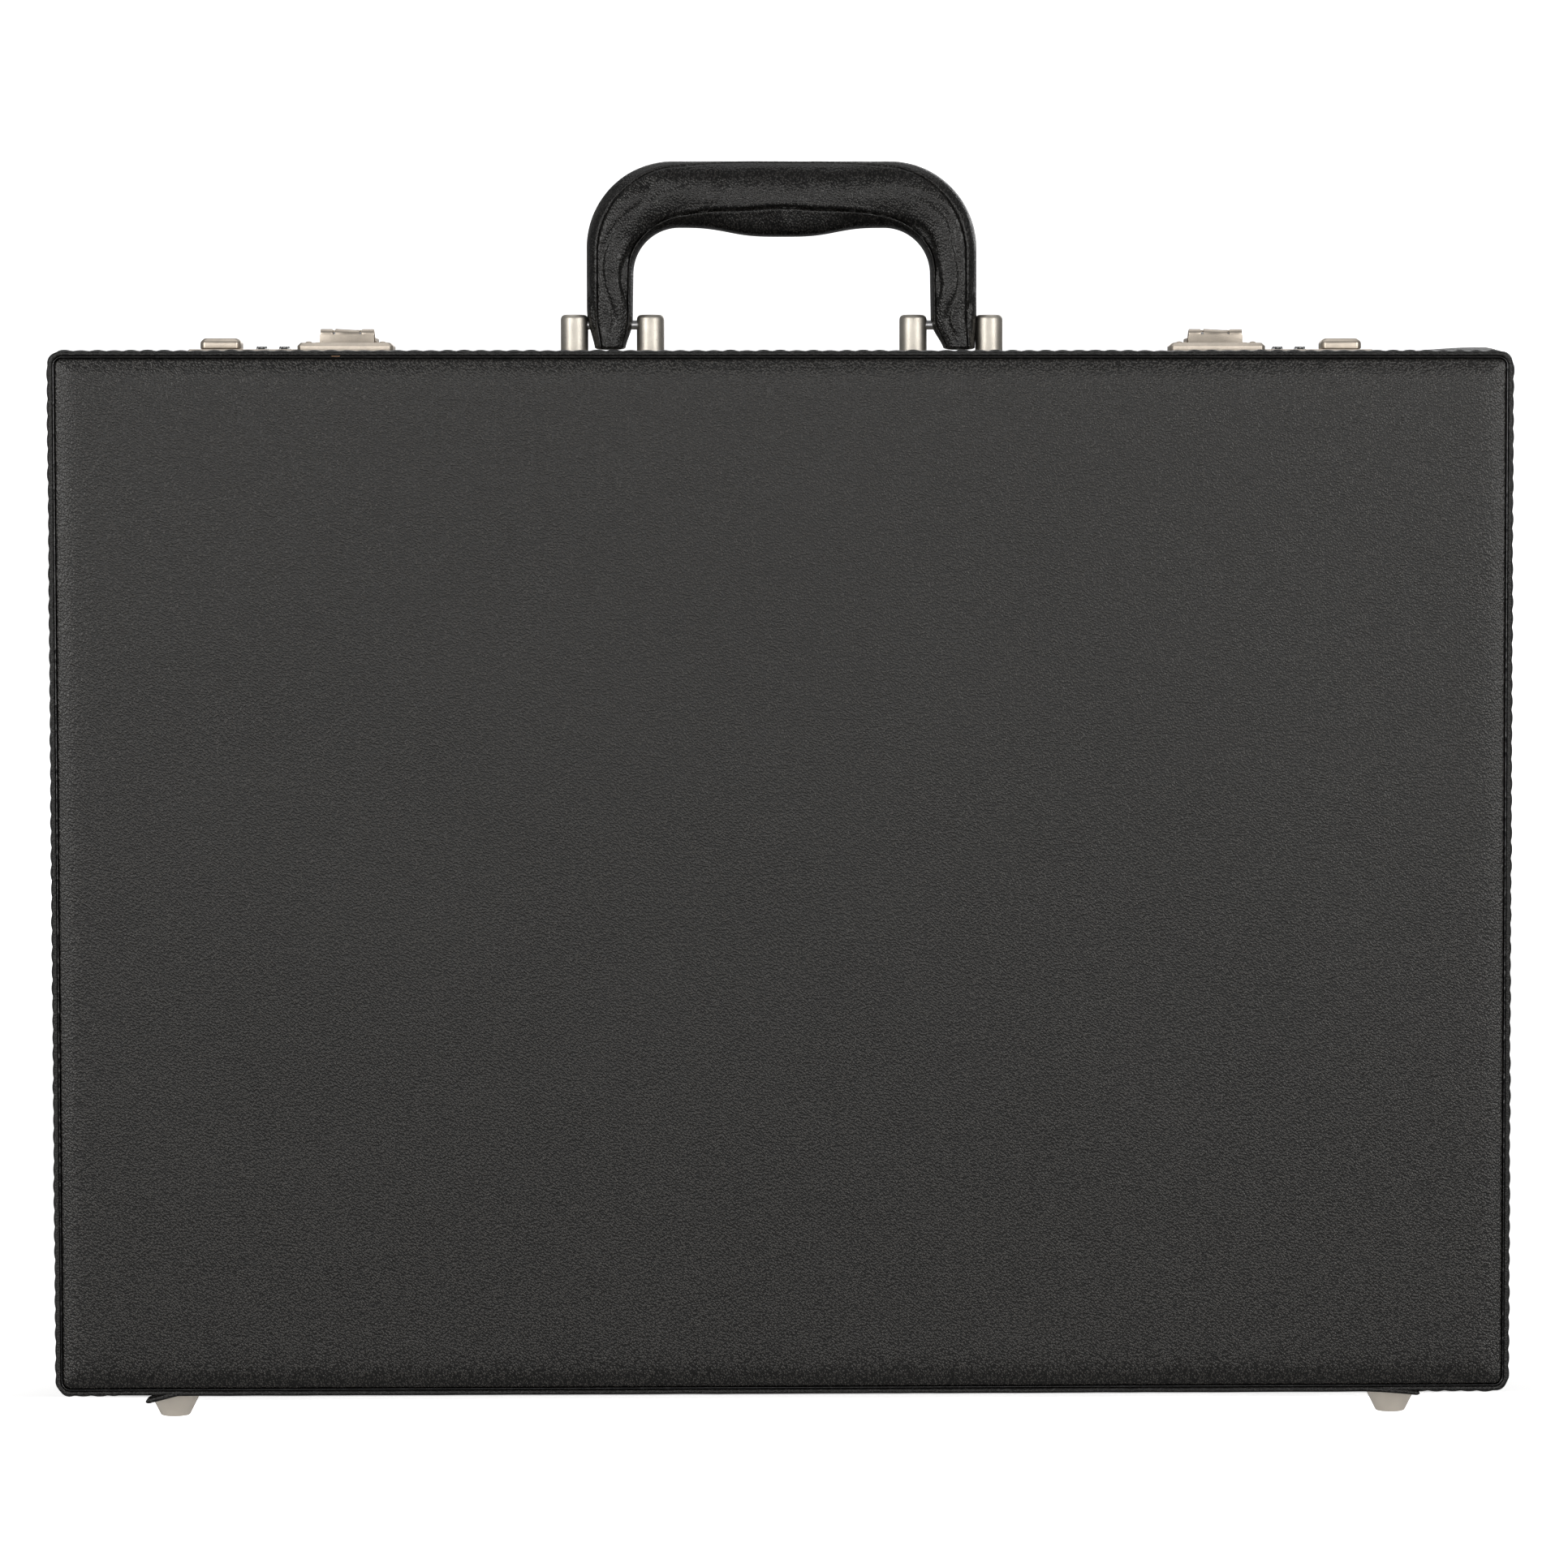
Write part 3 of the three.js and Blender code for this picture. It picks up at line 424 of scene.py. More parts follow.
def finish_piece(name, mesh, body, material, replaces=(), sharp_deg=None):
    """Shades the mesh, gives it its material and lets it ride. Edges sharper than sharp_deg stay hard."""
    edit = bmesh.new()
    edit.from_mesh(mesh)
    bmesh.ops.recalc_face_normals(edit, faces=edit.faces)
    for face in edit.faces:
        face.smooth = True
    if sharp_deg is not None:
        limit = math.radians(sharp_deg)
        for edge in edit.edges:
            if len(edge.link_faces) == 2 and edge.calc_face_angle(0.0) > limit:
                edge.smooth = False
    edit.to_mesh(mesh)
    edit.free()
    mesh.materials.clear()
    mesh.materials.append(MATERIALS[material])
    piece = bpy.data.objects.new(name, mesh)
    scene.collection.objects.link(piece)
    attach(piece, body)
    if replaces:
        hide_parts(*replaces)
    return piece


def skin_rings(rings, closed_path):
    """Vertices and quads through rings of equally many points, with flat caps on an open path."""
    rings = np.asarray(rings, float)
    count, size = rings.shape[:2]
    faces = []
    for r in range(count if closed_path else count - 1):
        a, b = r * size, ((r + 1) % count) * size
        for i in range(size):
            j = (i + 1) % size
            faces.append((a + i, a + j, b + j, b + i))
    if not closed_path:
        faces.append(tuple(range(size)))
        faces.append(tuple(range((count - 1) * size, count * size)))
    return rings.reshape(-1, 3), faces


class Loop:
    """The body's rounded outline, measured from the middle of the hinge side, to the left first."""

    def __init__(self):
        self.flat_w = HALF_W - CORNER_R
        self.flat_h = (TOP_Z - BOTTOM_Z) / 2 - CORNER_R
        self.arc = CORNER_R * math.pi / 2
        self.length = 4 * self.flat_w + 4 * self.flat_h + 4 * self.arc

    def at(self, s):
        """(x, z, normal x, normal z) at distance s."""
        w, h, arc, r = self.flat_w, self.flat_h, self.arc, CORNER_R
        s = s % self.length
        low, high = MID_Z - h, MID_Z + h
        runs = (
            (w, lambda t: (-t, BOTTOM_Z, 0, -1)),
            (arc, lambda t: self.corner(-w, low, 270 - t / r * 180 / math.pi)),
            (2 * h, lambda t: (-HALF_W, low + t, -1, 0)),
            (arc, lambda t: self.corner(-w, high, 180 - t / r * 180 / math.pi)),
            (2 * w, lambda t: (-w + t, TOP_Z, 0, 1)),
            (arc, lambda t: self.corner(w, high, 90 - t / r * 180 / math.pi)),
            (2 * h, lambda t: (HALF_W, high - t, 1, 0)),
            (arc, lambda t: self.corner(w, low, 0 - t / r * 180 / math.pi)),
            (w, lambda t: (w - t, BOTTOM_Z, 0, -1)),
        )
        for length, point in runs:
            if s <= length:
                return point(s)
            s -= length
        return (0, BOTTOM_Z, 0, -1)

    def corner(self, cx, cz, degrees):
        """The point at that angle on the rounded corner about cx, cz."""
        angle = math.radians(degrees)
        nx, nz = math.cos(angle), math.sin(angle)
        return (cx + CORNER_R * nx, cz + CORNER_R * nz, nx, nz)


LOOP = Loop()


def smooth_step(t):
    """0 below 0, 1 above 1, and a smooth rise between."""
    t = min(max(t, 0.0), 1.0)
    return t * t * (3 - 2 * t)


def bevel_copy(node, material, width, segments):
    """A finer stand-in for a CAD node: the same shape with its hard edges rounded."""
    bevelled_above_deg, hard_above_deg = 35, 50
    source = frame["nodes"][node]
    mesh = source.data.copy()
    mesh.name = node + "_fine"
    edit = bmesh.new()
    edit.from_mesh(mesh)
    bmesh.ops.remove_doubles(edit, verts=edit.verts, dist=2e-6)
    bmesh.ops.dissolve_limit(
        edit, angle_limit=math.radians(1.0), verts=edit.verts, edges=edit.edges
    )
    edit.to_mesh(mesh)
    edit.free()
    helper = bpy.data.objects.new(node + "_helper", mesh)
    scene.collection.objects.link(helper)
    bevel = helper.modifiers.new("bevel", "BEVEL")
    bevel.width = width * MM
    bevel.segments = segments
    bevel.limit_method = "ANGLE"
    bevel.angle_limit = math.radians(bevelled_above_deg)
    bevel.use_clamp_overlap = True
    bevel.harden_normals = False
    depsgraph = bpy.context.evaluated_depsgraph_get()
    made = bpy.data.meshes.new_from_object(helper.evaluated_get(depsgraph))
    bpy.data.objects.remove(helper)
    owner = body_of(source)[0]
    return finish_piece(node + "_fine", made, owner, material, (node,), hard_above_deg)


def lathe(profile, x, y, sides=48):
    """Vertices and faces of a profile of (radius, z) turned about a vertical line at x, y."""
    rings = []
    for radius, z in profile:
        angles = np.linspace(0, 2 * math.pi, sides, endpoint=False)
        ring = np.stack(
            [x + radius * np.cos(angles), y + radius * np.sin(angles), np.full(sides, z)], 1
        )
        rings.append(ring)
    return skin_rings(rings, False)


def rod_x(radius, x0, x1, y, z, sides=24, round_mm=0.3):
    """A round bar along X with slightly rounded ends."""
    rings = []
    stations = (
        (x0, radius - round_mm),
        (x0 + round_mm * 0.3, radius - round_mm * 0.3),
        (x0 + round_mm, radius),
        (x1 - round_mm, radius),
        (x1 - round_mm * 0.3, radius - round_mm * 0.3),
        (x1, radius - round_mm),
    )
    angles = np.linspace(0, 2 * math.pi, sides, endpoint=False)
    for x, r in stations:
        rings.append(np.stack([np.full(sides, x), y + r * np.cos(angles), z + r * np.sin(angles)], 1))
    return skin_rings(rings, False)


def merge(parts):
    """Several (verts, faces) as one."""
    verts, faces, start = [], [], 0
    for v, f in parts:
        verts.append(np.asarray(v, float))
        faces += [tuple(i + start for i in face) for face in f]
        start += len(v)
    return np.concatenate(verts), faces


def stitch(a, b, up, radius=0.28, lift=0.22):
    """One thread stitch from a to b that rises by lift in the middle, towards up."""
    a, b, up = (np.asarray(p, float) for p in (a, b, up))
    along = b - a
    length = np.linalg.norm(along)
    along = along / length
    side = np.cross(along, up)
    rings = []
    sides = 6
    for t, r in ((0.0, 0.3), (0.12, 0.85), (0.35, 1.0), (0.65, 1.0), (0.88, 0.85), (1.0, 0.3)):
        centre = a + along * length * t + up * (lift * math.sin(math.pi * t) - 0.12)
        ring = []
        for k in range(sides):
            angle = 2 * math.pi * k / sides
            ring.append(centre + (side * math.cos(angle) + up * math.sin(angle)) * radius * r)
        rings.append(ring)
    return skin_rings(rings, False)


def stitch_line(points, up, pitch=3.2, share=0.68):
    """Stitches along a polyline of points."""
    made = []
    points = [np.asarray(p, float) for p in points]
    for a, b in zip(points, points[1:]):
        length = np.linalg.norm(b - a)
        count = max(1, int(round(length / pitch)))
        step = (b - a) / count
        for i in range(count):
            start = a + step * (i + (1 - share) / 2)
            made.append(stitch(start, start + step * share, up))
    return made


make_camera()
make_stage()
MATERIALS = make_materials()


# ---- Padded panels ----
# Distance from the panel's edge, and the surface's depth behind the shell's face. Below 0 it stands proud.
EDGE_PROFILE = ((0, 1.5), (0.12, 0.8), (0.4, 0.36), (0.9, 0.1), (1.8, -0.07), (3.2, -0.38),
                (5, -0.66), (8, -0.81), (13, -0.87), (24, -0.9))


def panel_height(d):
    """Depth of the panel's surface at distance d from its edge, from the shell's face inwards."""
    for (d0, h0), (d1, h1) in zip(EDGE_PROFILE, EDGE_PROFILE[1:]):
        if d > d1:
            continue
        if d1 < 2:
            return h0 + (h1 - h0) * smooth_step((d - d0) / (d1 - d0))
        return h0 + (h1 - h0) * (d - d0) / (d1 - d0)
    return EDGE_PROFILE[-1][1]


def edge_stations(half, coarse):
    """Stations from -half to half, close together near both ends."""
    fine = [0, 0.15, 0.35, 0.6, 0.9, 1.3, 1.8, 2.5, 3.5, 5, 7, 9.5, 12.5, 16, 20, 25]
    middle = np.linspace(-half + 30, half - 30, int((2 * half - 60) / coarse))
    left = [-half + f for f in fine]
    return np.array(left + list(middle) + [-v for v in reversed(left)])


def padded_panel(name, face_y, inwards, body, node, seed):
    """A covered board with a soft edge, a slow ripple over it, and closed sides and back."""
    half_w = HALF_W - PANEL_INSET
    half_h = (TOP_Z - BOTTOM_Z) / 2 - PANEL_INSET
    radius = PANEL_CORNER_R
    most_proud = -0.98
    xs, zs = edge_stations(half_w, 5.0), edge_stations(half_h, 5.0)
    verts = []
    for z in zs:
        for x in xs:
            px, pz = x, z
            cx, cz = abs(x) - (half_w - radius), abs(z) - (half_h - radius)
            d = min(half_w - abs(x), half_h - abs(z))
            if cx > 0 and cz > 0:
                reach = math.hypot(cx, cz)
                square = max(cx, cz)
                px = math.copysign(half_w - radius + cx * square / reach, x)
                pz = math.copysign(half_h - radius + cz * square / reach, z)
                d = radius - square
            ripple = noise.noise(Vector((x / 55.0, z / 55.0, seed))) * 0.16
            ripple += noise.noise(Vector((x / 17.0, z / 17.0, seed + 5))) * 0.05
            height = panel_height(d) + ripple * smooth_step(d / 30.0)
            verts.append((px, face_y + inwards * max(height, most_proud), MID_Z + pz))
    nx, nz = len(xs), len(zs)
    faces = []
    for j in range(nz - 1):
        for i in range(nx - 1):
            a = j * nx + i
            faces.append((a, a + 1, a + nx + 1, a + nx))
    rim = list(range(nx))
    rim += [j * nx + nx - 1 for j in range(1, nz)]
    rim += [(nz - 1) * nx + i for i in range(nx - 2, -1, -1)]
    rim += [j * nx for j in range(nz - 2, 0, -1)]
    base = len(verts)
    for index in rim:
        x, _, z = verts[index]
        verts.append((x, face_y + inwards * PANEL_SKIRT, z))
    count = len(rim)
    for k in range(count):
        n = (k + 1) % count
        faces.append((rim[k], rim[n], base + n, base + k))
    faces.append(tuple(base + k for k in range(count)))
    piece = add_piece(name, verts, faces, body, "panel", (node,), 70)
    return piece


padded_panel("front_panel_pad", FRONT_Y, 1, "lid", "front_panel", 1.0)
padded_panel("rear_panel_pad", BACK_Y, -1, "base", "rear_panel", 9.0)


# ---- Sewn bindings, their stitches and the strips under the case ----
BINDING_PROFILE = (  # outwards from the outline, depth behind the face, share of the pucker
    (-1.5, 1.2, 0), (-1.48, 0.55, 0), (-1.34, 0.16, 0), (-1.0, 0.02, 0), (-0.6, 0.0, 0),
    (-0.25, 0.14, 0), (-0.06, 0.42, 0), (-0.02, 0.85, 0.1), (0.0, 1.3, 0.55), (0.02, 1.9, 0.95),
    (0.02, 2.7, 1), (0.0, 3.5, 0.85), (-0.03, 4.2, 0.5), (-0.12, 4.7, 0.15), (-0.22, 5.0, 0),
    (-0.12, 5.3, 0.1), (0.0, 5.6, 0.15), (-0.05, 5.85, 0.1), (-0.4, 6.0, 0), (-1.6, 6.0, 0),
)


def pucker_size(s, x, z, seed):
    """How far the covering stands out between two stitches, at distance s round the outline."""
    number = math.floor(s / PUCKER_PITCH)
    phase = s / PUCKER_PITCH - number
    vary = 0.88 + 0.2 * noise.cell(Vector((number + 0.5, seed, 0.5)))
    rise = abs(math.sin(math.pi * phase)) ** 0.75 * vary
    if z < BOTTOM_Z + 1.5:
        # Under the case the strip holds the tape flat, except near the strip's ends.
        rise *= smooth_step((-x - 204) / 5) + smooth_step((x - 184) / 4)
    return 0.5 * rise


def loose_bulge(x, y, z):
    """How far the covering has lifted off the top wall, near its right end."""
    if z < TOP_Z - 3 or x < LIFT_X:
        return 0.0
    along = smooth_step((x - LIFT_X) / 32) * smooth_step((226.0 - x) / 8)
    across = smooth_step((-44 - y) / -14) * smooth_step((-14.5 - y) / 9)
    return 1.6 * along * across


def binding(name, face_y, inwards, body, node, seed):
    """The tape sewn round a shell's edge, puckered between its stitches, and the stitches."""
    start = STRIP_HALF
    end = LOOP.length - STRIP_HALF
    count = int((end - start) / (PUCKER_PITCH / 7))
    rings = []
    for k in range(count + 1):
        s = start + (end - start) * k / count
        x, z, nx, nz = LOOP.at(s)
        size = pucker_size(s, x, z, seed)
        wobble = noise.noise(Vector((s / 23.0, seed, 0))) * 0.12
        ring = []
        for out, depth, share in BINDING_PROFILE:
            n = out + share * size + wobble * (0.4 if out < -1 else 1)
            ring.append((x + nx * n, face_y + inwards * depth, z + nz * n))
        rings.append(ring)
    verts, faces = skin_rings(rings, False)
    add_piece(name, verts, faces, body, "binding", (node,), 75)

    stitches = []
    lift = 0.05
    first = math.ceil(start / PUCKER_PITCH)
    for number in range(first, int(end / PUCKER_PITCH)):
        a, b = (number + 0.17) * PUCKER_PITCH, (number + 0.83) * PUCKER_PITCH
        ends = []
        for s in (a, b):
            x, z, nx, nz = LOOP.at(s)
            ends.append((x + nx * lift, face_y + inwards * STITCH_DEPTH, z + nz * lift))
        _, _, nx, nz = LOOP.at((a + b) / 2)
        stitches.append(stitch(ends[0], ends[1], (nx, 0, nz)))
    verts, faces = merge(stitches)
    add_piece(name + "_stitches", verts, faces, body, "thread")


def welt(name, face_y, inwards, body):
    """A thin glossy cord at the bottom of the groove between binding and panel."""
    rings = []
    count, radius, inset = 2200, 0.24, 1.78
    for k in range(count):
        x, z, nx, nz = LOOP.at(LOOP.length * k / count)
        bead = max(0.0, noise.noise(Vector((k / 2.2, face_y, 2)))) * 0.2
        wobble = bead + noise.noise(Vector((k / 9.0, face_y, 5))) * 0.06
        ring = []
        for i in range(8):
            angle = 2 * math.pi * i / 8
            n = -inset + (radius + wobble) * math.cos(angle)
            y = face_y + inwards * (0.5 - wobble) + radius * math.sin(angle)
            ring.append((x + nx * n, y, z + nz * n))
        rings.append(ring)
    verts, faces = skin_rings(rings, True)
    add_piece(name, verts, faces, body, "welt")


def bottom_strip(name, face_y, inwards, body, node, drop):
    """The strip over the binding's ends: one folded band whose ends have come loose."""

    def line(x):
        """Height of the band's underside, and its thickness, at x."""
        side = -1 if x < 0 else 1
        leave = 187.5 if side < 0 else 180.0  # from here outwards the band hangs loose
        t = min(max((abs(x) - leave) / (TAIL_X - leave), 0), 1)
        shape = t ** (1.0 if side < 0 else 1.5)
        under = 7.75 - shape * (drop if side < 0 else drop * 0.5)
        thick = 1.7 + (0.1 if side < 0 else -0.2) * t
        return under, thick

    xs = list(np.arange(-TAIL_X, -176, 0.45)) + list(np.arange(-176, 172, 4.0))
    xs += list(np.arange(172, TAIL_X, 0.45)) + [TAIL_X]
    outline = (  # depth behind the shell's face, height as a share of half the thickness
        (0.05, 0.35), (0.0, 0.0), (0.05, -0.35), (0.25, -0.8), (0.8, -1), (3.0, -1.05), (5.2, -1),
        (5.8, -0.7), (5.95, 0), (5.8, 0.7), (5.2, 1), (3.0, 1.05), (0.8, 1), (0.25, 0.8),
    )
    rings = []
    for x in xs:
        under, thick = line(x)
        end = max(0.0, abs(x) - TAIL_X + 1.2) / 1.2
        squeeze = math.sqrt(max(0.06, 1 - end * end))
        wave = noise.noise(Vector((x / 9.0, drop, 0))) * 0.08
        middle = under + thick / 2
        half = thick / 2 * squeeze
        ring = []
        for depth, up in outline:
            ring.append((x, face_y + inwards * (depth + 0.02), middle + up * half + wave))
        rings.append(ring)
    verts, faces = skin_rings(rings, False)
    add_piece(name, verts, faces, body, "binding", (node,), 75)
    # The folded-over inner layer shows as a thin second lip above each loose end.
    layers = []
    for side in (-1, 1):
        rings = []
        for k in range(20):
            t = k / 19
            x = side * (183.0 + 12.6 * t)
            under, thick = line(x)
            z = under + thick + 0.12 + 0.12 * math.sin(math.pi * t)
            half = 0.2 * (1 - 0.6 * t)
            z = min(z, 9.1)
            ring = [(x, face_y + inwards * d, z + u * half)
                    for d, u in ((0.5, -1), (0.3, 0), (0.5, 1), (5.4, 1), (5.6, 0), (5.4, -1))]
            rings.append(ring)
        layers.append(skin_rings(rings, False))
    verts, faces = merge(layers)
    add_piece(name + "_inner_fold", verts, faces, body, "binding")


for shell, face_y, inwards, body, seed, drop in (
    ("front", FRONT_Y, 1, "lid", 3.0, 2.5),
    ("rear", BACK_Y, -1, "base", 7.0, 0.7),
):
    binding(f"{shell}_binding_sewn", face_y, inwards, body, f"{shell}_binding", seed)
    welt(f"{shell}_groove_welt", face_y, inwards, body)
    bottom_strip(
        f"{shell}_bottom_strip_band", face_y, inwards, body, f"{shell}_bottom_strip", drop
    )


def groove_fleck():
    """A sliver of bare board that shows in the front groove, near the left lock."""
    verts, faces = rod_x(0.28, -138.3, -135.3, FRONT_Y + 0.55, TOP_Z - 1.75, 8, 0.25)
    add_piece("front_groove_fleck", verts, faces, "lid", "fleck")


groove_fleck()


# ---- Shell walls ----
def lid_walls():
    """The lid's covered walls, as one ring with softly rounded edges."""
    front_y, parting_y = -43.7, -14.3
    profile = [(-1.9, front_y), (-0.45, front_y), (-0.12, -43.55), (0, -43.2)]
    profile += [(0, y) for y in range(-41, -14, 2)]
    profile += [(-0.1, -14.5), (-0.4, parting_y), (-3.6, parting_y), (-4, -14.7)]
    profile += [(-4, -45.9), (-3.7, -46.3), (-1.9, -46.3)]
    count = 640
    rings = []
    for k in range(count):
        s = LOOP.length * k / count
        x, z, nx, nz = LOOP.at(s)
        ring = []
        for out, y in profile:
            wave = noise.noise(Vector((x / 40, y / 40, z / 40))) * 0.1 if out > -0.05 else 0
            n = out + wave * smooth_step((y - front_y) / 4) * smooth_step((parting_y - y) / 4)
            if out > -0.5:
                n += loose_bulge(x, y, z)
            ring.append((x + nx * n, y, z + nz * n))
        rings.append(ring)
    verts, faces = skin_rings(rings, True)
    add_piece("lid_wall_cover", verts, faces, "lid", "wall", ("lid_wall_frame",), 60)


lid_walls()
bevel_copy("base_wall_frame", "wall", 0.5, 2)
for node in ("lid_valance", "base_valance"):
    bevel_copy(node, "aluminium", 0.2, 2)
for node in ("lid_lining", "base_lining"):
    bevel_copy(node, "lining", 0.3, 2)


# ---- Handle ----
GRIP_TOP = 61.0  # heights are above the top wall
GRIP_OUT = 61.6
GRIP_OUT_R = 27.3
GRIP_IN = 46.8
GRIP_UNDER = 40.0
GRIP_SWELL = 37.2  # height of the underside in the middle, where the palm swell hangs lowest
GRIP_IN_R = 14.5
GRIP_HALF_T = 8.5
GRIP_ENDS = ((0.55, 0.55), (0.82, 0.4), (0.94, 0.18))  # size and drop of the rings that round the ends off


def grip_edges(u, side):
    """Outer and inner edge points (x, height above the wall) at u: 0 leg end, 1 leg top,
    2 bar's end, 3 bar's middle. side is -1 for the left half, 1 for the right."""
    toe_out, toe_in = ((58.9, 49.2) if side < 0 else (61.0, 51.0))
    if u <= 1:
        outer_h = 2.2 + u * (GRIP_TOP - GRIP_OUT_R - 2.2)
        inner_h = 2.2 + u * (GRIP_UNDER - GRIP_IN_R - 2.2)
        pinch = (1 - smooth_step(outer_h / 15)) ** 1.2
        outer = GRIP_OUT + (toe_out - GRIP_OUT) * pinch
        inner = GRIP_IN + (toe_in - GRIP_IN) * pinch + 0.4 * (1 - u)
        return (outer, outer_h), (inner, inner_h)
    if u <= 2:
        angle = (u - 1) * math.pi / 2
        outer = (
            GRIP_OUT - GRIP_OUT_R + GRIP_OUT_R * math.cos(angle),
            GRIP_TOP - GRIP_OUT_R + GRIP_OUT_R * math.sin(angle),
        )
        inner = (
            GRIP_IN - GRIP_IN_R + GRIP_IN_R * math.cos(angle),
            GRIP_UNDER - GRIP_IN_R + GRIP_IN_R * math.sin(angle),
        )
        return outer, inner
    t = u - 2
    outer_x = (GRIP_OUT - GRIP_OUT_R) * (1 - t)
    inner_x = (GRIP_IN - GRIP_IN_R) * (1 - t)
    swell = 0.5 - 0.5 * math.cos(math.pi * smooth_step(t * 0.95 + 0.05))
    return (outer_x, GRIP_TOP), (inner_x, GRIP_UNDER + (GRIP_SWELL - GRIP_UNDER) * swell)


def seam_places(u):
    """Where the two seams run, as shares of the width from the inner edge."""
    return 0.10 + 0.28 * smooth_step((u - 1.5) / 1.5), 0.765 + 0.21 * smooth_step((u - 1.0) / 1.6)


def section_angles(low, high):
    """Angles from the inner edge, 0, to the outer edge, pi, close together at both seams."""
    spread = (-0.16, -0.08, -0.045, -0.02, 0.0, 0.02, 0.045, 0.08, 0.16)
    a = math.acos(1 - 2 * low)
    b = math.acos(1 - 2 * high)
    angles = list(np.linspace(0.0, a - 0.2, 7))
    angles += [a + d for d in spread]
    angles += list(np.linspace(a + 0.22, b - 0.22, 20))
    angles += [b + d for d in spread]
    angles += list(np.linspace(b + 0.2, math.pi, 7))
    return angles, a, b


def grip_ring(u, side, squeeze=1.0, lower=0.0):
    """One section of the grip at u, with its seams, creases and folds."""
    (ox, oh), (ix, ih) = grip_edges(u, side)
    low, high = seam_places(u)
    angles, seam_a, seam_b = section_angles(low, high)
    mx, mh = (ox + ix) / 2, (oh + ih) / 2
    dx, dh = (ox - ix) / 2, (oh - ih) / 2
    width = math.hypot(dx, dh)
    leg = 1 - smooth_step((u - 0.15) / 0.6)
    half_t = GRIP_HALF_T - 0.9 * leg
    ring = []
    for face in (-1, 1):
        order = angles if face < 0 else list(reversed(angles[1:-1]))
        for angle in order:
            a = -math.cos(angle)
            full = 0.3 * smooth_step((u - 2.0) / 0.6) if angle < seam_a else 0.0
            y = abs(math.sin(angle)) ** (0.72 - full) * half_t
            depth = 0.0
            for seam, deep in ((seam_a, 0.95), (seam_b, 0.6)):
                gap = abs(angle - seam) / 0.035
                depth += deep * math.exp(-gap * gap) - 0.3 * deep * math.exp(-((gap - 2.6) ** 2) / 2.0)
            if angle < seam_a:
                depth += 0.35 * smooth_step((seam_a - angle) / 0.1)
            px = (mx + dx * a * squeeze) * side
            ph = mh + dh * a * squeeze - lower
            place = Vector((px / 8.0, face * 3 + a, ph / 8.0))
            crease = noise.noise(place) * 0.3 + noise.noise(place * 3.1) * 0.08
            run = u * 26.0
            sway = noise.noise(Vector((run / 16.0, side, face))) * 1.6
            ridge = math.cos(math.pi * (a * 2.3 + sway + 0.3 * face))
            slack = (1 - smooth_step((u - 1.2) / 1.1)) * smooth_step(u / 0.25)
            folds = max(0.0, ridge) ** 3 * 0.75 * slack
            if angle < seam_a:
                pleat = noise.noise(Vector((px / 4.5, face, ph / 16.0)))
                folds = max(0.0, pleat) * 1.1
                crease *= 0.45
            shrink = (depth + crease + folds) * abs(math.sin(angle)) ** 0.4
            y = max(y - shrink, 0.0) * squeeze
            inward = min(shrink * 0.35, 0.3) / max(width, 1)
            px -= dx * a * inward * side
            ph -= dh * a * inward
            ring.append((px, HANDLE_Y + face * y, TOP_Z + ph))
    return ring


def grip():
    """The whole grip, from the left leg's end over the bar to the right leg's end."""
    steps = [0.02 * k for k in range(1, 50)] + [1 + 0.022 * k for k in range(46)]
    steps += [2.02 + 0.98 * k / 56 for k in range(57)]
    rings = []
    for squeeze, lower in GRIP_ENDS:
        rings.append(grip_ring(0.0, -1, squeeze, lower))
    rings.append(grip_ring(0.0, -1))
    rings += [grip_ring(u, -1) for u in steps]
    rings += [grip_ring(u, 1) for u in reversed(steps[:-1])]
    rings.append(grip_ring(0.0, 1))
    for squeeze, lower in reversed(GRIP_ENDS):
        rings.append(grip_ring(0.0, 1, squeeze, lower))
    verts, faces = skin_rings(rings, False)
    piece = add_piece("handle_grip_wrapped", verts, faces, "handle", "grip",
                      ("handle_grip", "handle_core"), 80)


grip()


def handle_hardware():
    """For each leg of the handle, two round posts, their bracket and the pivot pin."""
    round_r, round_z = 1.4, TOP_Z + 11.3
    profile = [(POST_R, TOP_Z + 0.4), (POST_R, TOP_Z + 10.9), (4.3, TOP_Z + 11.4)]
    for k in range(1, 8):
        angle = math.radians(90 * k / 8)
        profile.append((2.9 + round_r * math.cos(angle), round_z + round_r * math.sin(angle)))
    profile += [(1.6, TOP_Z + 12.72), (0.3, TOP_Z + 12.74)]
    for name, side in SIDES:
        centre = side * HANDLE_X
        posts = [lathe(profile, centre + post * POST_HALF, HANDLE_Y, 40) for post in (-1, 1)]
        verts, faces = merge(posts)
        add_piece(f"handle_posts_{name}", verts, faces, "base", "post_nickel", (), 60)
        bevel_copy(f"handle_bracket_{name}", "post_nickel", 0.15, 2)
        left, right = centre - PIVOT_HALF, centre + PIVOT_HALF
        verts, faces = rod_x(PIVOT_R, left, right, HANDLE_Y, TOP_Z + PIVOT_H)
        node = f"handle_pin_{name}"
        add_piece(node + "_turned", verts, faces, "base", "steel", (node,))


handle_hardware()


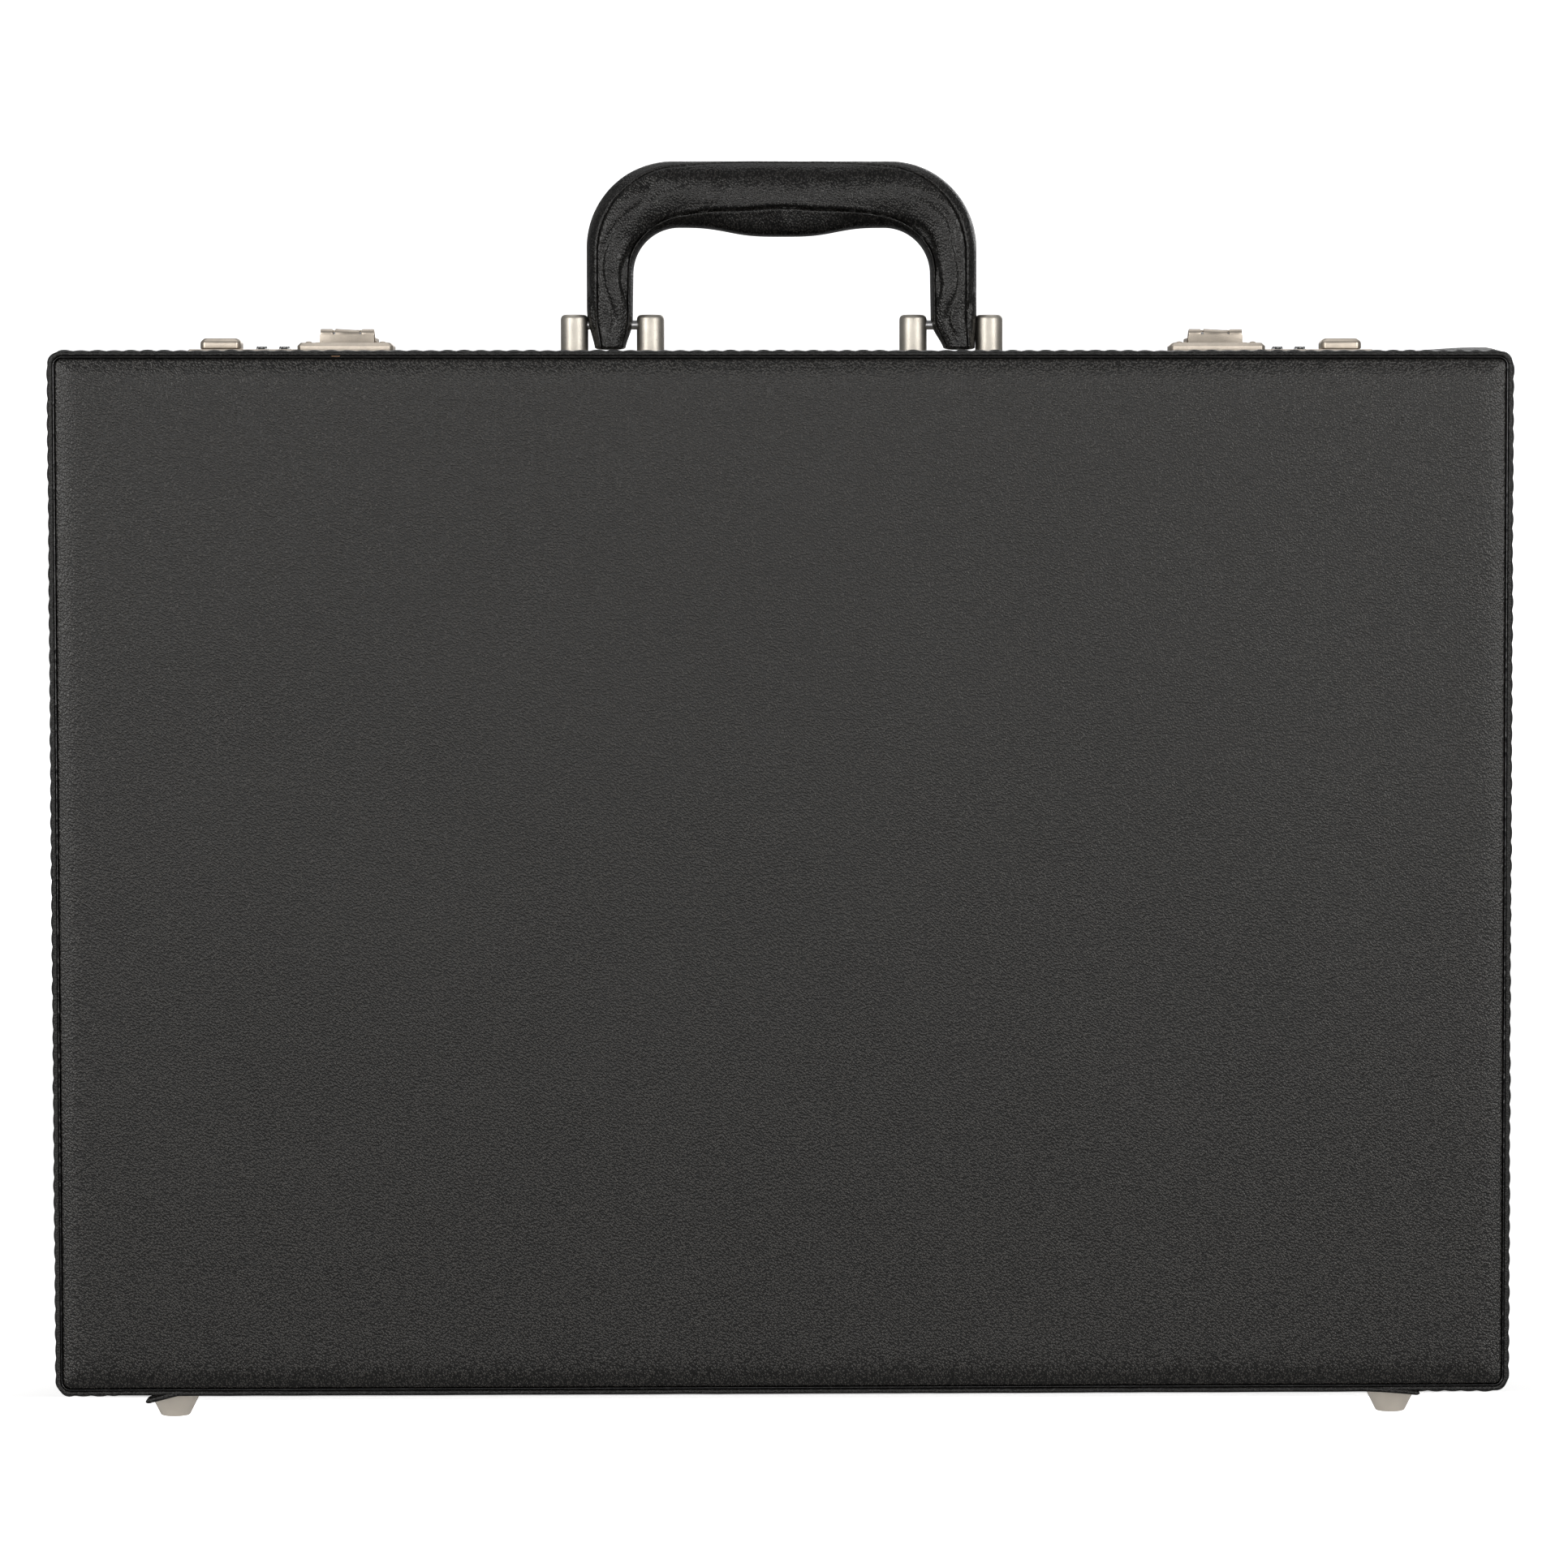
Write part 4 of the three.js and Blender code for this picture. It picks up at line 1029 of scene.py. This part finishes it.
# ---- Locks ----
def digit_glyph(digit, height_mm):
    """The outline of one digit as flat faces, centred on 0, 0."""
    curve = bpy.data.curves.new("digit", "FONT")
    curve.body = str(digit)
    curve.size = 1.0
    curve.resolution_u = 2
    text = bpy.data.objects.new("digit", curve)
    scene.collection.objects.link(text)
    mesh = bpy.data.meshes.new_from_object(text.evaluated_get(bpy.context.evaluated_depsgraph_get()))
    verts = np.array([v.co[:2] for v in mesh.vertices])
    faces = [tuple(p.vertices) for p in mesh.polygons]
    bpy.data.objects.remove(text)
    bpy.data.meshes.remove(mesh)
    verts -= (verts.max(0) + verts.min(0)) / 2
    verts *= height_mm / (verts[:, 1].max() - verts[:, 1].min())
    return verts, faces


DIGITS = [digit_glyph(digit, DIGIT_H) for digit in range(10)]


def dial(name, side, number, x):
    """A chrome wheel with ten notches in its rims, a dark band between them and ten digits on it."""
    half, steps = DIAL_HALF, 140
    node = f"lock_dial_{name}_{number}"
    rings = []
    for across, drop, notch in (
        (-half, 0.5, 0.0), (-half + 0.12, 0.15, 0.5), (-half + 0.3, 0.0, 1.0), (-1.05, 0.0, 1.0),
        (-0.9, 0.35, 0.0), (0.9, 0.35, 0.0), (1.05, 0.0, 1.0), (half - 0.3, 0.0, 1.0),
        (half - 0.12, 0.15, 0.5), (half, 0.5, 0.0),
    ):
        ring = []
        for k in range(steps):
            angle = 2 * math.pi * k / steps
            phase = (angle * 10 / (2 * math.pi) + 0.5) % 1.0
            dip = 0.55 * max(0.0, 1 - abs(phase - 0.5) * 7) * notch
            r = DIAL_R - 0.06 - drop - dip
            y, z = DIAL_Y + r * math.cos(angle), DIAL_Z + r * math.sin(angle)
            ring.append((side * x + across, y, z))
        rings.append(ring)
    verts, faces = skin_rings(rings, False)
    body = f"dial_{name}_{number}"
    add_piece(node + "_wheel", verts, faces, body, "chrome", (node,), 40)
    rings = []
    band = ((-0.88, 5.5), (-0.84, 5.78), (-0.7, 5.86), (0.7, 5.86), (0.84, 5.78), (0.88, 5.5))
    turns = np.linspace(0, 2 * math.pi, steps, endpoint=False)
    for across, r in band:
        ring = [np.full(steps, side * x + across), DIAL_Y + r * np.cos(turns), DIAL_Z + r * np.sin(turns)]
        rings.append(np.stack(ring, 1))
    verts, faces = skin_rings(rings, False)
    add_piece(node + "_band", verts, faces, body, "enamel", (), 60)
    parts = []
    narrow = 0.6
    for digit, (flat, glyph_faces) in enumerate(DIGITS):
        middle = 2 * math.pi * (digit + 0.5) / 10 + math.radians(90)
        placed = []
        for gx, gy in flat:
            angle = middle + gy / DIAL_R
            y, z = DIAL_Y + DIGIT_R * math.cos(angle), DIAL_Z + DIGIT_R * math.sin(angle)
            placed.append((side * x + gx * narrow, y, z))
        parts.append((placed, glyph_faces))
    verts, faces = merge(parts)
    add_piece(node + "_digits", verts, faces, body, "ink")


def slab_x(profile, x0, x1, slope=0.0, round_mm=0.14):
    """A side outline of (y, z) points carried along X, its ends slightly rounded."""
    profile = np.asarray(profile, float)
    middle = profile.mean(0)
    span = np.abs(profile - middle).max()
    rings = []
    for x, inset in ((x0, round_mm), (x0 + round_mm, 0), (x1 - round_mm, 0), (x1, round_mm)):
        ring = middle + (profile - middle) * (1 - inset / span)
        drop = slope * (x - x0) / (x1 - x0)
        rings.append(np.column_stack([np.full(len(ring), x), ring[:, 0], ring[:, 1] - drop]))
    return skin_rings(rings, False)


def curl(radius, foot_z):
    """A sheet that comes up at the front and rolls back over the pin."""
    points = [(KNUCKLE_Y - radius - 0.15, foot_z)]
    for k in range(13):
        angle = math.radians(172 - 14 * k)
        points.append((KNUCKLE_Y + radius * math.cos(angle), KNUCKLE_Z + radius * math.sin(angle)))
    for k in range(9):
        angle = math.radians(22 * k)
        y = KNUCKLE_Y + CURL_INNER_R * math.cos(angle)
        points.append((y, KNUCKLE_Z + CURL_INNER_R * math.sin(angle)))
    points.append((KNUCKLE_Y - radius + 1.0, foot_z))
    return points


def rivet(x, y, z, radius):
    """A low domed rivet head."""
    profile = [(radius, z)]
    for k in range(1, 6):
        angle = math.radians(80 * k / 5)
        profile.append((radius * math.cos(angle), z + 0.55 * radius * math.sin(angle)))
    return lathe(profile, x, y, 20)


def hasp_trim(name, x):
    """One hasp carrier's curled ears, front plate and rivets, and the hasp's own curl between the ears."""
    ears = ((1.68, -8.3, -4.6), (1.63, 4.6, 8.3))  # radius, then where the ear starts and ends
    parts = [slab_x(curl(radius, TOP_Z + 3.0), x + x0, x + x1) for radius, x0, x1 in ears]
    front, foot_z, top_z = KNUCKLE_Y - 1.95, TOP_Z + 2.8, KNUCKLE_Z - 0.35
    plate = [(front, foot_z), (front, KNUCKLE_Z - 0.55), (front + 0.1, top_z),
             (front + 0.5, top_z), (front + 0.5, foot_z)]
    parts.append(slab_x(plate, x - 8.5, x + 8.4, 0.0, 0.2))
    for offset in (-11.6, 11.3):
        parts.append(rivet(x + offset, KNUCKLE_Y - 6.0, TOP_Z + 3.05, 1.1))
    verts, faces = merge(parts)
    add_piece(f"hasp_carrier_{name}_curls", verts, faces, "lid", "nickel", (), 40)
    verts, faces = slab_x(curl(1.74, KNUCKLE_Z - 0.3), x - 3.7, x + 3.8, 0.42)
    add_piece(f"hasp_{name}_curl", verts, faces, f"hasp_{name}", "nickel", (), 40)


def locks_and_stays():
    """Both locks with their hasps, and both folding stays."""
    for name, side in SIDES:
        for number, x in enumerate(DIALS_X, 1):
            dial(name, side, number, x)
        bevel_copy(f"lock_plate_{name}", "nickel", 0.2, 2)
        bevel_copy(f"lock_housing_{name}", "black", 0.2, 1)
        bevel_copy(f"lock_button_{name}", "nickel", 0.45, 3)
        bevel_copy(f"lock_bolt_{name}", "steel", 0.15, 1)
        bevel_copy(f"hasp_carrier_{name}", "nickel", 0.22, 2)
        bevel_copy(f"hasp_{name}", "nickel", 0.2, 2)
        hasp_trim(name, side * HASP_X)
        bevel_copy(f"hasp_pin_{name}", "steel", 0.1, 1)
        bevel_copy(f"lock_spindle_{name}", "steel", 0.2, 1)
        for kind in ("stay_mount_base", "stay_mount_lid", "stay_lower_arm", "stay_upper_arm"):
            bevel_copy(f"{kind}_{name}", "steel", 0.15, 2)


locks_and_stays()


# ---- Feet and hinge ----
def foot(name, x, y, body):
    """A round foot that widens upwards from a rounded sole."""
    sole_r = 0.85
    profile = [(3.2, 0.0)]
    for k in range(1, 7):
        angle = math.radians(90 - 68 * k / 6)
        profile.append((3.9 + sole_r * math.cos(angle), sole_r - sole_r * math.sin(angle)))
    profile += [(8.0, 7.2), (8.35, 7.75), (8.4, 8.0), (7.5, 8.0)]
    verts, faces = lathe(profile, x, y, 64)
    add_piece(f"{name}_turned", verts, faces, body, "foot", (name,), 60)


def hinge():
    """The piano hinge's two leaves and its pin."""
    for node in ("hinge_leaf_base", "hinge_leaf_lid"):
        bevel_copy(node, "steel", 0.12, 2)
    left, right = -HINGE_PIN_HALF, HINGE_PIN_HALF
    verts, faces = rod_x(HINGE_PIN_R, left, right, PARTING_Y, HINGE_PIN_Z, 16, 0.2)
    add_piece("hinge_pin_turned", verts, faces, "base", "steel", ("hinge_pin",))


for name, side in SIDES:
    foot(f"foot_front_{name}", side * FOOT_X, -FOOT_Y, "lid")
    foot(f"foot_rear_{name}", side * FOOT_X, FOOT_Y, "base")
hinge()


# ---- Inside the lid ----
def soft_slab(name, x0, x1, z0, z1, y0, y1, puff, node):
    """A flat sewn piece whose face swells between its stitched edges."""
    step = 4.0
    nx, nz = max(6, int((x1 - x0) / step)), max(6, int((z1 - z0) / step))
    verts = []
    for layer in (0, 1):
        for j in range(nz + 1):
            for i in range(nx + 1):
                x = x0 + (x1 - x0) * i / nx
                z = z0 + (z1 - z0) * j / nz
                y = y0
                if layer:
                    edge = min(x - x0, x1 - x, z - z0)
                    swell = puff * smooth_step(edge / 14)
                    ripple = noise.noise(Vector((x / 30, z / 22, y0))) * 0.35 * smooth_step(edge / 20)
                    y = y1 + swell - puff + ripple
                verts.append((x, y, z))
    row = nx + 1
    size = row * (nz + 1)
    faces = []
    for j in range(nz):
        for i in range(nx):
            a = j * row + i
            faces.append((a, a + 1, a + row + 1, a + row))
            faces.append((size + a, size + a + row, size + a + row + 1, size + a + 1))
    rim = list(range(row)) + [j * row + nx for j in range(1, nz + 1)]
    rim += [nz * row + i for i in range(nx - 1, -1, -1)] + [j * row for j in range(nz - 1, 0, -1)]
    for k, index in enumerate(rim):
        n = rim[(k + 1) % len(rim)]
        faces.append((index, n, size + n, size + index))
    piece = add_piece(name, verts, faces, "lid", "pocket", (node,), 60)
    inset = 2.5
    y = y1 - puff + 0.25
    corners = [(x0 + inset, y, z1 - 1), (x0 + inset, y, z0 + inset), (x1 - inset, y, z0 + inset),
               (x1 - inset, y, z1 - 1)]
    seam = stitch_line(corners, (0, 1, 0))
    hem_y, hem_z = y1 - puff * 0.4, z1 - 9
    seam += stitch_line([(x0 + 1, hem_y, hem_z), (x1 - 1, hem_y, hem_z)], (0, 1, 0))
    verts, faces = merge(seam)
    add_piece(name + "_stitches", verts, faces, "lid", "pocket_thread")


def node_span(node):
    """x0, x1, y0, y1, z0, z1 of a CAD node, in millimetres."""
    low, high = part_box(node)
    return [v / MM for pair in zip(low, high) for v in pair]


for node, puff in (("file_pocket", 1.2), ("card_pocket_left", 0.5), ("card_pocket_right", 0.5),
                   ("pen_holder", 0.5)):
    x0, x1, y0, y1, z0, z1 = node_span(node)
    soft_slab(node + "_sewn", x0, x1, z0, z1, y0, y1, puff, node)
